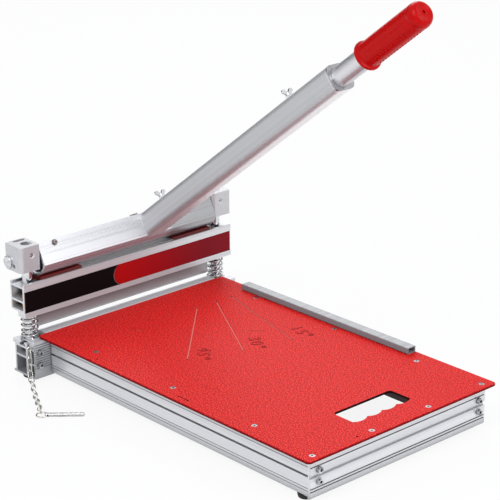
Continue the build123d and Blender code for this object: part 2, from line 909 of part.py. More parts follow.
def biarc(start, start_way, end, end_way):
    """Two arcs that join two points and keep the direction at both."""
    span = end - start
    ways = start_way + end_way
    spread = 2 * (1 - start_way.dot(end_way))
    along = span.dot(ways)
    reach = (math.sqrt(along * along + spread * span.dot(span)) - along) / spread
    joint = (start + start_way * reach + end - end_way * reach) * 0.5
    first = Edge.make_tangent_arc(start, start_way, joint)
    second = Edge.make_tangent_arc(joint, first.tangent_at(1), end)
    return [first, second]


def spring(side):
    """A return spring round a post, wound as one tube."""
    points, tangents = spring_points()
    edges = []
    for index in range(len(points) - 1):
        edges += biarc(points[index], tangents[index], points[index + 1], tangents[index + 1])
    path = Wire(edges)
    section = Plane(origin=points[0], z_dir=tangents[0]) * Circle(spring_wire / 2)
    tube = sweep(section, path=path)
    base = Pos(post_x, side * post_y, seat_top + spring_wire / 2 + piece_gap)
    return base * tube


def spring_self_gap():
    """Least gap between neighbouring turns of a spring."""
    radius = (spring_outer - spring_wire) / 2
    samples = []
    for step in range(spring_turns * 48 + 1):
        turn = step / 48
        angle = 2 * math.pi * turn
        samples.append((turn, Vector(radius * math.cos(angle), radius * math.sin(angle),
                                     spring_height(turn))))
    least = spring_outer
    for index, (turn, point) in enumerate(samples):
        for other_turn, other in samples[index:]:
            if other_turn - turn > 0.5:
                least = min(least, (other - point).length - spring_wire)
    return least


def spring_seats():
    """Washers under the springs, on the base beam."""
    seats = []
    for side in (-1, 1):
        place = (post_x, side * post_y, base_top)
        bore = cylinder(post_diameter / 2 + running_gap, spring_seat_thickness, place)
        seats.append(cylinder(spring_seat_diameter / 2, spring_seat_thickness, place) - bore)
    return group(seats)


def upper_beam_section():
    """Section of the moving beam, with its top channel and label recess."""
    back = post_x - beam_depth / 2
    blade_back = post_x - blade_setback
    section = rectangle((back, beam_front), (beam_bottom, beam_top))
    section -= rectangle((back - overrun, blade_back), (beam_bottom - overrun, beam_bottom + blade_wall))
    recess_low = beam_bottom + label_recess_low
    section -= rectangle((beam_front - label_recess_depth, beam_front + overrun),
                         (recess_low, recess_low + label_recess_height))
    section -= rectangle((back + channel_lip, beam_front - channel_lip - hole_gap),
                         (channel_floor, beam_top + overrun))
    rib = beam_bottom + upper_rib_share * upper_beam_height
    inner = (back + beam_wall, beam_front - beam_wall - label_recess_depth)
    section -= rectangle(inner, (rib + beam_rib / 2, channel_floor - upper_floor), beam_round)
    section -= rectangle(inner, (beam_bottom + blade_wall + beam_rib, rib - beam_rib / 2), beam_round)
    return section


def blade_screw_height():
    """Height of the blade's screws, in the thick bottom wall of the upper beam."""
    return beam_bottom + blade_wall / 2


def upper_beam():
    """The moving beam that carries the blade and slides on the posts."""
    half = beam_length / 2
    beam = along_y(upper_beam_section(), -half, half)
    cuts = []
    for side in (-1, 1):
        place = (post_x, side * post_y, beam_bottom - overrun)
        cuts.append(cylinder(bush_outer / 2 + running_gap, bush_length + overrun, place))
        cuts.append(cylinder(post_diameter / 2 + piece_gap, upper_beam_height + overrun * 2, place))
    front = post_x - blade_setback
    for share in blade_screw_shares:
        place = (front - overrun, share * blade_length, blade_screw_height())
        cuts.append(cylinder(blade_screw_shank / 2 + running_gap, beam_depth / 3 + overrun, place, (1, 0, 0)))
    return beam - cuts


def beam_bush(side):
    """A flanged bush in the upper beam, which runs on a post."""
    place = (post_x, side * post_y, bush_bottom)
    body = cylinder(bush_outer / 2, bush_length + bush_flange, place)
    body += cylinder(spring_seat_diameter / 2, bush_flange, place)
    return body - cylinder(post_diameter / 2 + running_gap, bush_length + bush_flange, place)


def label_outline(low, high):
    """A band of the label, in Y and Z, between two ends."""
    bottom = beam_bottom + label_recess_low + label_side_gap
    top = beam_bottom + label_recess_low + label_recess_height - label_side_gap
    return rectangle((low, high), (bottom, top))


def label_nose(edge):
    """The rounded end of the red panel, which reaches into the black one."""
    bottom = beam_bottom + label_recess_low
    top = bottom + label_recess_height
    arc = ThreePointArc((edge, bottom), (edge - label_lead, (bottom + top) / 2), (edge, top))
    return make_face([arc, Line((edge, top), (edge, bottom))])


def label_panel(black):
    """A bare label panel in the recess on the front of the upper beam."""
    half = beam_length / 2 - label_end_margin
    split = label_split_share * beam_length
    face = beam_front - label_recess_depth
    if black:
        panel = label_outline(-half, split - label_line) - label_nose(split - label_line)
    else:
        panel = label_outline(split - label_lead, split) & label_nose(split)
        panel += label_outline(split, half)
    return along_x(panel, face, face + label_thickness)


def cutting_blade():
    """The blade, with a bevel on its front face down to the edge."""
    front = post_x - blade_setback
    back = front - blade_thickness
    top = beam_bottom + blade_wall - running_gap
    points = [(back, blade_edge_height), (back, top), (front, top),
              (front, blade_edge_height + blade_bevel_height), (back + blade_land, blade_edge_height)]
    blade = along_y(make_face(Polyline(*points, close=True)), -blade_length / 2, blade_length / 2)
    cuts = []
    for share in blade_screw_shares:
        place = (back - overrun, share * blade_length, blade_screw_height())
        cuts.append(cylinder(blade_screw_shank / 2 + running_gap, blade_thickness + overrun * 2,
                             place, (1, 0, 0)))
    return blade - cuts


def blade_clamp_bar():
    """The bar behind the blade, which clamps it on the upper beam."""
    front = post_x - blade_setback - blade_thickness
    top = beam_bottom + blade_wall - running_gap
    section = rectangle((front - clamp_depth, front), (beam_bottom - clamp_drop, top))
    section = fillet(section.vertices().sort_by(Axis.Y)[:2].sort_by(Axis.X)[:1], clamp_round)
    bar = along_y(section, -blade_length / 2, blade_length / 2)
    cuts = []
    for share in blade_screw_shares:
        place = (front - clamp_depth - overrun, share * blade_length, blade_screw_height())
        cuts.append(cylinder(blade_screw_shank / 2 + running_gap, clamp_depth + overrun * 2,
                             place, (1, 0, 0)))
        cuts.append(cylinder(blade_screw_head / 2 + running_gap, blade_screw_head_length + overrun,
                             place, (1, 0, 0)))
    return bar - cuts


def blade_screws():
    """Cap screws through the clamp bar and the blade into the upper beam."""
    back = post_x - blade_setback - blade_thickness - clamp_depth
    reach = beam_depth / 3 - overrun
    screws = []
    for share in blade_screw_shares:
        place = Vector(back, share * blade_length, blade_screw_height())
        head = cylinder(blade_screw_head / 2, blade_screw_head_length, place, (1, 0, 0))
        shank = cylinder(blade_screw_shank / 2, clamp_depth + blade_thickness + reach, place, (1, 0, 0))
        before = place - Vector(overrun, 0, 0)
        socket = hexagon(cap_socket, cap_socket_depth + overrun, before, (1, 0, 0))
        screws.append(head + shank - socket)
    return group(screws)


def channel_range():
    """The two side walls of the upper beam's top channel, with a small gap."""
    back = post_x - beam_depth / 2 + channel_lip + running_gap
    return (back, beam_front - channel_lip - hole_gap - running_gap)


def wear_pad(low, high):
    """A plastic pad in the top channel, which the lever's cam presses."""
    pad = block(channel_range(), (low, high), (channel_floor, pad_top))
    return fillet(pad.faces().sort_by(Axis.Z)[-1].edges(), pad_round)


def spacer_bar():
    """The bar between the two wear pads."""
    low = pad_length - pad_near_end + hole_gap
    high = pad_far_end - pad_length - hole_gap
    return block(channel_range(), (low, high), (channel_floor, pad_top - spacer_drop))


def end_block(side):
    """A block on top of a post, which carries one end of the lever's axle."""
    back = post_x + block_front - block_length
    inner = block_width / 2
    outer = inner + block_outer_margin
    low, high = (-outer, inner) if side < 0 else (-inner, outer)
    outline = rectangle((back, post_x + block_front), (low, high))
    corners = outline.vertices().sort_by(Axis.X)
    front = corners[2:].sort_by(Axis.Y)
    outline = fillet(corners[:2] + front[-1:], block_round)
    front = outline.vertices().sort_by(Axis.X)[-3:]
    outline = fillet(front.sort_by(Axis.Y)[:1], block_front_round)
    pocket_middle = back + pocket_wall + pocket_length / 2
    solid = extrude(outline, amount=block_height)
    solid = chamfer(solid.faces().sort_by(Axis.Z)[-1].edges(), block_edge_round)
    opening = RectangleRounded(pocket_length, pocket_width, pocket_length * pocket_corner_share)
    pocket = Pos(pocket_middle, 0, block_height) * opening
    solid -= extrude(pocket, amount=-pocket_depth)
    solid = Pos(0, side * post_y, block_bottom) * solid
    cuts = [cylinder(post_diameter / 2 + running_gap, block_height + overrun * 2,
                     (post_x, side * post_y, block_bottom - overrun)),
            cylinder(axle_diameter / 2 + running_gap, high - low + overrun * 2,
                     (axle_x, side * post_y + low - overrun, axle_z), (0, 1, 0)),
            cylinder(block_screw / 2 + running_gap, block_front + overrun,
                     (post_x, side * post_y, block_bottom + block_screw_rise), (1, 0, 0))]
    cone = Cone(block_screw / 2, block_screw_sink / 2, (block_screw_sink - block_screw) / 2,
                align=(Align.CENTER, Align.CENTER, Align.MAX))
    cuts.append(Plane(origin=(post_x + block_front, side * post_y, block_bottom + block_screw_rise),
                      z_dir=(1, 0, 0)) * cone)
    if side < 0:
        cuts.append(cylinder(lock_hole / 2, high - low + overrun * 2,
                             (post_x - lock_hole_offset, -post_y + low - overrun,
                              block_bottom + lock_hole_rise), (0, 1, 0)))
    return solid - cuts


def block_set_screws():
    """Set screws that hold the end blocks on the posts."""
    screws = []
    for side in (-1, 1):
        start = post_x + post_diameter / 2 + hole_gap
        length = post_x + block_front - pocket_wall - start
        place = Vector(start, side * post_y, block_bottom + block_screw_rise)
        socket = hexagon(table_screw_socket, cap_socket_depth + overrun,
                         place + Vector(length - cap_socket_depth, 0, 0), (1, 0, 0))
        screws.append(cylinder(block_screw / 2, length, place, (1, 0, 0)) - socket)
    return group(screws)


def pivot_axle():
    """The axle of the lever, with its head on the near side."""
    face = post_y + block_width / 2 + block_outer_margin
    length = face * 2 + axle_nut_height + axle_thread_out
    axle = cylinder(axle_diameter / 2, length, (axle_x, -face, axle_z), (0, 1, 0))
    head_place = (axle_x, -face - axle_head_length, axle_z)
    head = cylinder(axle_head / 2, axle_head_length, head_place, (0, 1, 0))
    head = chamfer(head.edges().filter_by(GeomType.CIRCLE), block_edge_round)
    return axle + head


def axle_nut():
    """The nut on the far end of the axle."""
    place = (axle_x, post_y + block_width / 2 + block_outer_margin, axle_z)
    bore = cylinder(axle_diameter / 2 + running_gap, axle_nut_height, place, (0, 1, 0))
    return hexagon(axle_nut_flats, axle_nut_height, place, (0, 1, 0)) - bore


def axle_washers():
    """Washers on the axle between the lever and the end blocks."""
    washers = []
    for side in (-1, 1):
        inner = post_y - block_width / 2
        low = side * inner if side < 0 else inner - washer_thickness
        place = (axle_x, low, axle_z)
        bore = cylinder(axle_diameter / 2 + running_gap, washer_thickness, place, (0, 1, 0))
        washers.append(cylinder(washer_outer / 2, washer_thickness, place, (0, 1, 0)) - bore)
    return group(washers)


def face_corners():
    """Lower and upper corner of the lever's flat face, in X and Z."""
    low = Vector(axle_x + face_low_reach, axle_z - face_low_drop)
    top = Vector(axle_x + face_top_reach, axle_z + face_top_rise)
    return low, top


def face_lean():
    """Angle of the flat face's outward direction above X, in degrees."""
    low, top = face_corners()
    return math.degrees(math.atan2(low.X - top.X, top.Y - low.Y))


def top_angle():
    """Angle of the outward direction of the lever's sloping top, in radians."""
    reach = math.hypot(face_top_reach, face_top_rise)
    return math.atan2(face_top_rise, face_top_reach) + math.acos(hub_radius / reach)


def face_frame(y, from_top):
    """A plane on the lever's face, at a place along it and below its top edge."""
    low, top = face_corners()
    down = (low - top).normalized()
    point = top + down * from_top
    return Plane(origin=(point.X, y, point.Y), x_dir=(0, 1, 0), z_dir=(-down.Y, 0, down.X))


def lever_section():
    """Section of the lever: the hull of its hub, its cam and its flat face."""
    low, top = face_corners()
    hub = Pos(axle_x, axle_z) * Circle(hub_radius)
    cam = Pos(cam_x, cam_z) * Circle(cam_radius)
    face = Line((low.X, low.Y), (top.X, top.Y))
    outer = make_hull(hub.edges() + cam.edges() + face.edges())
    beyond = Rectangle(lever_length, lever_length, align=(Align.MIN, Align.CENTER))
    outer -= Pos(low.X, low.Y) * Rot(0, 0, face_lean()) * beyond
    inner = offset(outer, amount=-lever_wall)
    ring = Pos(axle_x, axle_z) * Circle(axle_ring)
    hollow = inner - ring
    bore = Pos(axle_x, axle_z) * Circle(axle_diameter / 2 + running_gap)
    return outer - hollow - bore


def lever_body():
    """The hollow bar that turns on the axle and presses the beam down."""
    half = lever_length / 2
    lever = along_y(lever_section(), -half, half)
    cuts = []
    plane = face_frame(-face_screw_place, face_screw_from_top)
    cuts.append(cylinder(face_screw_shank / 2 + running_gap, lever_wall * 4,
                         plane.origin - plane.z_dir * lever_wall * 3, plane.z_dir))
    for place in stub_bolt_places():
        cuts.append(cylinder(stub_bolt / 2 + running_gap, lever_wall * 3,
                             place - face_normal() * lever_wall * 2, face_normal()))
    for index in (-0.5, 0.5):
        place = top_screw_place_at(index)
        cuts.append(cylinder(face_screw_shank / 2 + running_gap, lever_wall * 3,
                             place - top_way() * lever_wall * 2, top_way()))
    return lever - cuts


def top_way():
    """Direction in which the lever's sloping top looks."""
    return Vector(math.cos(top_angle()), 0, math.sin(top_angle()))


def top_screw_place_at(index):
    """Place of a small screw on the lever's top, beside the handle."""
    top = face_corners()[1]
    back = Vector(-math.sin(top_angle()), 0, math.cos(top_angle())) * face_screw_from_top
    return Vector(top.X, top_screw_place + index * top_screw_pitch, top.Y) + back


def lever_face_screws():
    """Small screws with washers on the lever's face and top."""
    screws = []
    plane = face_frame(-face_screw_place, face_screw_from_top)
    way = plane.z_dir
    start = plane.origin
    screws.append(cylinder(face_screw_washer / 2, face_screw_washer_height, start, way)
                  - cylinder(face_screw_shank / 2 + running_gap, face_screw_washer_height, start, way))
    head = cylinder(face_screw_head / 2, face_screw_head_height,
                    start + way * face_screw_washer_height, way)
    shank = cylinder(face_screw_shank / 2, face_screw_length,
                     start - way * (face_screw_length - face_screw_washer_height), way)
    socket = hexagon(table_screw_socket, table_screw_socket_depth + overrun,
                     start + way * (face_screw_washer_height + face_screw_head_height
                                    - table_screw_socket_depth), way)
    screws.append(head + shank - socket)
    for index in (-0.5, 0.5):
        place = top_screw_place_at(index)
        head = cylinder(face_screw_head / 2, face_screw_head_height, place, top_way())
        screws.append(head + cylinder(face_screw_shank / 2, face_screw_length,
                                      place - top_way() * face_screw_length, top_way()))
    return group(screws)


def face_normal():
    """Direction in which the lever's flat face looks."""
    return face_frame(0, 0).z_dir


def handle_way():
    """Direction of the handle, from the lever to the grip."""
    turn = math.radians(handle_angle)
    return Vector(math.cos(turn), 0, math.sin(turn))


def handle_top_way():
    """Direction out of the handle's top side."""
    turn = math.radians(handle_angle)
    return Vector(-math.sin(turn), 0, math.cos(turn))


def handle_plane(place):
    """A plane across the handle at a place along it."""
    return Plane(origin=handle_origin + handle_way() * place, x_dir=(0, 1, 0), z_dir=handle_way())


def face_reach(height=0.0):
    """Place along the handle where its axis, raised by a height, meets the face."""
    low, top = face_corners()
    normal = face_normal()
    start = handle_origin + handle_top_way() * height
    face_point = Vector(low.X, handle_offset, low.Y)
    return (face_point - start).dot(normal) / handle_way().dot(normal)


def square_tube(outer, corner, start, end, bore=0.0, bore_corner=0.0):
    """A tube of rounded square section along the handle."""
    section = RectangleRounded(outer, outer, corner)
    if bore > 0:
        section -= RectangleRounded(bore, bore, bore_corner)
    return handle_plane(start) * extrude(section, amount=end - start)


def behind_face():
    """The space behind the lever's face, which trims the handle's lower end."""
    plane = Plane(origin=handle_origin + handle_way() * face_reach(), z_dir=face_normal())
    size = tube_size * 3
    return plane * Box(size, size, size, align=(Align.CENTER, Align.CENTER, Align.MAX))


def handle_outer_tube():
    """The square outer tube of the handle, trimmed to the lever's face."""
    bore = tube_size - tube_wall * 2
    tube = square_tube(tube_size, tube_corner, face_reach() - tube_size, tube_end, bore,
                       tube_corner - tube_wall)
    cuts = [behind_face()]
    for place in (wing_lower_place, wing_upper_place):
        start = handle_origin + handle_way() * place
        cuts.append(cylinder(wing_shank / 2 + running_gap, tube_size, start, handle_top_way()))
    return tube - cuts


def stub_bolt_places():
    """Places on the lever's face of the bolts that hold the handle's stub."""
    middle = handle_origin + handle_way() * face_reach()
    return [middle + Vector(0, share * stub_bolt_pitch, 0) for share in (-0.5, 0.5)]


def handle_stub():
    """The plug inside the lower end of the handle, bolted to the lever."""
    size = tube_size - tube_wall * 2 - running_gap * 2
    stub = square_tube(size, tube_corner - tube_wall, face_reach() - tube_size, stub_end)
    cuts = [behind_face()]
    bore_start = face_reach() + stub_bolt_bite + stub_bolt
    cuts.append(handle_plane(bore_start) * Cylinder(stub_bore / 2, stub_end,
                align=(Align.CENTER, Align.CENTER, Align.MIN)))
    for place in stub_bolt_places():
        cuts.append(cylinder(stub_bolt / 2 + running_gap, stub_bolt_bite + overrun,
                             place - face_normal() * overrun, face_normal()))
    start = handle_origin + handle_way() * wing_lower_place
    start += handle_top_way() * (size / 2 - wing_stub_bite - hole_gap)
    cuts.append(cylinder(wing_shank / 2 + running_gap, tube_size, start, handle_top_way()))
    return stub - cuts


def stub_bolts():
    """Bolts from inside the lever into the handle's stub."""
    bolts = []
    for place in stub_bolt_places():
        inside = place - face_normal() * (lever_wall + stub_bolt_head_length)
        head = cylinder(stub_bolt_head / 2, stub_bolt_head_length, inside, face_normal())
        shank = cylinder(stub_bolt / 2, lever_wall + stub_bolt_head_length + stub_bolt_bite - hole_gap,
                         inside, face_normal())
        bolts.append(head + shank)
    return group(bolts)


def mouth_liner():
    """The liner in the mouth of the outer tube, which guides the inner tube."""
    size = tube_size - tube_wall * 2 - running_gap * 2
    liner = square_tube(size, tube_corner - tube_wall, tube_end - liner_length, tube_end)
    liner += square_tube(tube_size, tube_corner, tube_end, tube_end + liner_lip)
    bore = Cylinder(inner_tube_diameter / 2 + running_gap, liner_length * 2 + overrun)
    return liner - handle_plane(tube_end) * bore


def handle_inner_tube():
    """The round inner tube of the handle, which slides to change its length."""
    end = grip_start + grip_bore_depth
    ring = Circle(inner_tube_diameter / 2) - Circle(inner_tube_diameter / 2 - inner_tube_wall)
    return handle_plane(inner_tube_start) * extrude(ring, amount=end - inner_tube_start)


def tube_guide():
    """The guide on the lower end of the inner tube, inside the outer tube."""
    size = tube_size - tube_wall * 2 - running_gap * 2
    guide = square_tube(size, tube_corner - tube_wall, inner_tube_start, inner_tube_start + guide_length)
    bore = Cylinder(inner_tube_diameter / 2 + running_gap, guide_length * 3)
    return guide - handle_plane(inner_tube_start) * bore


def hand_grip():
    """The red grip with its flange and domed end."""
    body = Cylinder(grip_diameter / 2, grip_length, align=(Align.CENTER, Align.CENTER, Align.MIN))
    body = fillet(body.faces().sort_by(Axis.Z)[-1].edges(), grip_end_round)
    flange = Cylinder(grip_flange_diameter / 2, grip_flange_length,
                      align=(Align.CENTER, Align.CENTER, Align.MIN))
    body += fillet(flange.edges().filter_by(GeomType.CIRCLE), grip_flange_length / 3)
    bore = Cylinder(inner_tube_diameter / 2 + running_gap, grip_bore_depth + hole_gap,
                    align=(Align.CENTER, Align.CENTER, Align.MIN))
    vent = Cylinder(grip_vent / 2, grip_length * 2)
    return handle_plane(grip_start) * (body - bore - vent)


def wing_nut(place):
    """The fixed nut on the tube's top side, in which a wing screw turns."""
    start = handle_origin + handle_way() * place + handle_top_way() * (tube_size / 2)
    bore = cylinder(wing_shank / 2 + running_gap, wing_nut_height, start, handle_top_way())
    return hexagon(wing_nut_flats, wing_nut_height, start, handle_top_way()) - bore


def wing_nuts():
    """The two fixed nuts of the wing screws."""
    return group([wing_nut(wing_lower_place), wing_nut(wing_upper_place)])


def wing_screw(place, depth):
    """A wing screw with a shank, a collar and two rounded wings."""
    base = tube_size / 2 + wing_nut_height + piece_gap
    shank = Cylinder(wing_shank / 2, base + wing_collar_height - depth,
                     align=(Align.CENTER, Align.CENTER, Align.MIN))
    screw = Pos(0, 0, depth) * shank
    collar = Cylinder(wing_collar / 2, wing_collar_height, align=(Align.CENTER, Align.CENTER, Align.MIN))
    screw += Pos(0, 0, base) * collar
    half = wing_span / 2
    ear = wing_height / 3
    profile = Sketch()
    for side in (-1, 1):
        profile += Pos(side * (half - ear), base + wing_height - ear) * Circle(ear)
        corners = [(0, base), (side * wing_collar / 2, base), (side * half, base + wing_height - ear),
                   (side * (half - ear * 1.6), base + wing_height - ear * 0.3),
                   (0, base + wing_collar_height)]
        profile += make_face(Polyline(*corners, close=True))
    wings = extrude(Plane.XZ * profile, amount=wing_thickness / 2, both=True)
    screw += wings
    start = handle_origin + handle_way() * place
    return Plane(origin=start, x_dir=(0, 1, 0), z_dir=handle_top_way()) * screw


def lower_wing_screw():
    """The wing screw that holds the outer tube on its stub."""
    size = tube_size - tube_wall * 2
    return wing_screw(wing_lower_place, size / 2 - wing_stub_bite)


def upper_wing_screw():
    """The wing screw that clamps the inner tube."""
    return wing_screw(wing_upper_place, tube_size / 2 - tube_wall + hole_gap)


def anchor_x():
    """X of the chain's anchor on the end of the cross rail."""
    return cross_rail_front - anchor_from_face


def anchor_z():
    """Height of the chain's anchor."""
    return frame_top - anchor_drop


def anchor_ring_centre():
    """Centre of the anchor's ring, beside the end of the cross rail."""
    y = -cross_rail_length / 2 - anchor_stand_off - anchor_ring_radius - anchor_wire / 2
    return Vector(anchor_x(), y, anchor_z())


def chain_anchor():
    """The eye screw that the chain hangs on."""
    centre = anchor_ring_centre()
    ring = Plane(origin=centre, z_dir=(1, 0, 0)) * Torus(anchor_ring_radius, anchor_wire / 2)
    start = centre.Y + anchor_ring_radius
    end = anchor_depth - cross_rail_length / 2
    shank = cylinder(anchor_wire / 2, end - start, (centre.X, start, centre.Z), (0, 1, 0))
    return ring + shank


def chain_link():
    """One oval link, long along X and flat in X and Y."""
    bend = (link_width - link_wire) / 2
    straight = link_length - link_width
    section = Circle(link_wire / 2)
    pieces = []
    for side in (-1, 1):
        bar = cylinder(link_wire / 2, straight, (-straight / 2, side * bend, 0), (1, 0, 0))
        turn = Plane(origin=(side * straight / 2, -bend, 0), x_dir=(0, 1, 0), z_dir=(1, 0, 0)) * section
        axis = Axis((side * straight / 2, 0, 0), (0, 0, side))
        pieces += [bar, revolve(turn, axis, 180)]
    link = pieces[0]
    for piece in pieces[1:]:
        link += piece
    return link


def chain_route():
    """Corner points of the chain's middle line, from the anchor to the ring."""
    anchor = anchor_ring_centre()
    ring_bottom = anchor.Z - anchor_ring_radius + anchor_wire / 2 + link_slack / 2
    top = ring_bottom - link_length / 2 + link_wire
    floor = link_lie_height()
    points = [Vector(anchor.X, anchor.Y, top)]
    points.append(Vector(anchor.X, anchor.Y, floor + link_width))
    for share_x, share_y in chain_run_shares:
        points.append(Vector(anchor.X + share_x * table_width, anchor.Y + share_y * table_width, floor))
    return points


def link_lie_height():
    """Height of a link's middle when it lies on its two wires, turned by 45 degrees."""
    bend = (link_width - link_wire) / 2
    return floor_height + link_wire / 2 + bend * math.sin(math.radians(45))


def walk(points, distance):
    """The point at a distance along a line of points, or None past its end."""
    for start, end in zip(points, points[1:]):
        length = (end - start).length
        if distance <= length:
            return start + (end - start) * (distance / length)
        distance -= length
    return None


def link_places():
    """Centre, direction and turn of each link of the chain."""
    points = chain_route()
    pitch = link_length - link_wire * 2 - link_slack
    places = []
    centre = points[0]
    centres = [centre]
    distance = 0.0
    while True:
        step = pitch
        target = walk(points, distance + step)
        while target is not None and (target - centre).length < pitch - 0.01 * link_wire:
            step += 0.02 * link_wire
            target = walk(points, distance + step)
        if target is None:
            break
        distance += step
        centre = target
        centres.append(centre)
    for index, centre in enumerate(centres):
        before = centres[max(0, index - 1)]
        after = centres[min(len(centres) - 1, index + 1)]
        hanging = centre.Z > link_lie_height() + link_length / 2
        turn = 90 * ((index + 1) % 2) + (0 if hanging else 45)
        places.append((centre, (after - before).normalized(), turn))
    centre, way, _ = places[-1]
    stand = Vector(centre.X, centre.Y, floor_height + link_width / 2)
    places[-1] = (stand, Vector(way.X, way.Y, 0).normalized(), 0)
    return places


def placed_link(centre, way, turn):
    """A link set at a place along the chain and turned about its length."""
    side = Vector(0, 1, 0) if abs(way.Z) > 0.5 else Vector(0, 0, 1)
    across = side.cross(way).normalized()
    plane = Plane(origin=centre, x_dir=way, z_dir=across)
    return plane * Rot(turn, 0, 0) * chain_link()


def chain_links():
    """The chain, each link a solid of its own."""
    return group([placed_link(*place) for place in link_places()])


def ring_centre():
    """Centre of the ring at the end of the chain."""
    centre, way, _ = link_places()[-1]
    flat = Vector(way.X, way.Y, 0).normalized()
    inside = link_length / 2 - link_wire * 1.4 - link_slack / 2
    reach = inside - ring_wire / 2 + ring_radius
    return Vector(centre.X, centre.Y, floor_height + pin_diameter / 2) + flat * reach


def pin_ring():
    """The ring that joins the chain and the locking pin."""
    return Pos(*ring_centre()) * Torus(ring_radius, ring_wire / 2)


def locking_pin():
    """The pin that locks the lever when the cutter is carried."""
    turn = math.radians(pin_angle)
    way = Vector(math.cos(turn), math.sin(turn), 0)
    hole = ring_centre() + way * ring_radius
    start = hole - way * pin_hole_inset
    pin = cylinder(pin_diameter / 2, pin_length, start, way)
    pin = chamfer(pin.edges().filter_by(GeomType.CIRCLE), pin_tip_chamfer)
    across = Vector(-way.Y, way.X, 0)
    return pin - cylinder(pin_hole / 2, pin_diameter * 2, hole - across * pin_diameter, across)


def main():
    """Build every node and write it."""
    os.makedirs("parts", exist_ok=True)
    far_rail = side_rail_far()
    nodes = {
        "table_plate": table_plate(),
        "table_screws": table_screws(),
        "side_rail_far": far_rail,
        "side_rail_near": mirror(far_rail, Plane.XZ),
        "end_plate": end_plate(),
        "end_plate_screws": end_plate_screws(),
        "head_cross_rail": head_cross_rail(),
        "corner_screws": corner_screws(),
        "cross_screws": cross_screws(),
        "base_beam": base_beam(),
        "post_near": post(-1),
        "post_far": post(1),
        "post_nuts": post_nuts(),
        "anvil_strip": anvil_strip(),
        "fence_tube": fence_tube(),
        "fence_screws": fence_screws(),
        "foot_screws": foot_screws(),
        "spring_near": spring(-1),
        "spring_far": spring(1),
        "spring_seats": spring_seats(),
        "upper_beam": upper_beam(),
        "beam_bush_near": beam_bush(-1),
        "beam_bush_far": beam_bush(1),
        "label_panel_black": label_panel(True),
        "label_panel_red": label_panel(False),
        "cutting_blade": cutting_blade(),
        "blade_clamp_bar": blade_clamp_bar(),
        "blade_screws": blade_screws(),
        "wear_pad_near": wear_pad(-pad_near_end, pad_length - pad_near_end),
        "wear_pad_far": wear_pad(pad_far_end - pad_length, pad_far_end),
        "pad_spacer_bar": spacer_bar(),
        "end_block_near": end_block(-1),
        "end_block_far": end_block(1),
        "block_set_screws": block_set_screws(),
        "pivot_axle": pivot_axle(),
        "axle_nut": axle_nut(),
        "axle_washers": axle_washers(),
        "lever_body": lever_body(),
        "lever_face_screws": lever_face_screws(),
        "handle_outer_tube": handle_outer_tube(),
        "handle_stub": handle_stub(),
        "stub_bolts": stub_bolts(),
        "mouth_liner": mouth_liner(),
        "wing_nuts": wing_nuts(),
        "handle_inner_tube": handle_inner_tube(),
        "tube_guide": tube_guide(),
        "hand_grip": hand_grip(),
        "lower_wing_screw": lower_wing_screw(),
        "upper_wing_screw": upper_wing_screw(),
        "chain_anchor": chain_anchor(),
        "chain_links": chain_links(),
        "pin_ring": pin_ring(),
        "locking_pin": locking_pin(),
    }
    for name, (x, y, seat) in foot_seats().items():
        nodes[name] = foot(x, y, seat)
    for name, shape in nodes.items():
        write(name, shape)
    print("least gap between turns of a spring", round(spring_self_gap(), 2))
    print("axle", round(axle_x, 2), round(axle_z, 2))
    print("handle start", handle_origin, "way", handle_way(), "top way", handle_top_way())
    print("ring centre", ring_centre(), "links", len(link_places()))


main()
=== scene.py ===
# %% [markdown]
# A laminate cutter, dressed in Blender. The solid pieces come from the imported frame,
# already at their real size and place. This file gives them light, a camera and
# finishes, and models the few pieces whose shape is finer than the frame's.

# %% Load the frame
import bpy
import math
from mathutils import Matrix, Vector


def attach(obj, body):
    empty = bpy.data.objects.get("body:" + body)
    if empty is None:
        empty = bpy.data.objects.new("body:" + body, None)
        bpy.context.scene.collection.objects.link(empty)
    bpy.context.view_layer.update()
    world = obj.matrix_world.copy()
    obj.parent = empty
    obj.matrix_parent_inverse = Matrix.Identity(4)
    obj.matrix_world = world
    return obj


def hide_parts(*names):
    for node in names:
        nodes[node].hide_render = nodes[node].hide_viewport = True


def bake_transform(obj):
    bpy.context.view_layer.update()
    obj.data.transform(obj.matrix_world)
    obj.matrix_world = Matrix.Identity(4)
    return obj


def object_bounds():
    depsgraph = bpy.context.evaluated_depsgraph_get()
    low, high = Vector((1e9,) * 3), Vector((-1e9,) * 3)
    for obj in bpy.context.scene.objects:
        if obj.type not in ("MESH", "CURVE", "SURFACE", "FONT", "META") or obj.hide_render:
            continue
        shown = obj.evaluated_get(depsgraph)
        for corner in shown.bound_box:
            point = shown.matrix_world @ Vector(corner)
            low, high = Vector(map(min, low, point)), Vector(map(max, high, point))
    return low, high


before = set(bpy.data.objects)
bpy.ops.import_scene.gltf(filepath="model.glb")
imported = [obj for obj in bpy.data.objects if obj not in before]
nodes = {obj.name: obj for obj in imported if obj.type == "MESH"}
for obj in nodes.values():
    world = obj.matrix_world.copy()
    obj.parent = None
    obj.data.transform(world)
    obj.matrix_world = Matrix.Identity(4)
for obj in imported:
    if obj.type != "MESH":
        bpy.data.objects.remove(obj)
cad_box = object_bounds()
bpy.ops.object.select_all(action="DESELECT")
mm = 0.001

# %% [markdown]
# The picture is taken with a long lens from above the near corner of the table's
# carry end. The place and the target were fitted to the straight edges of the table,
# and the small roll levels the posts as they stand in the photograph.

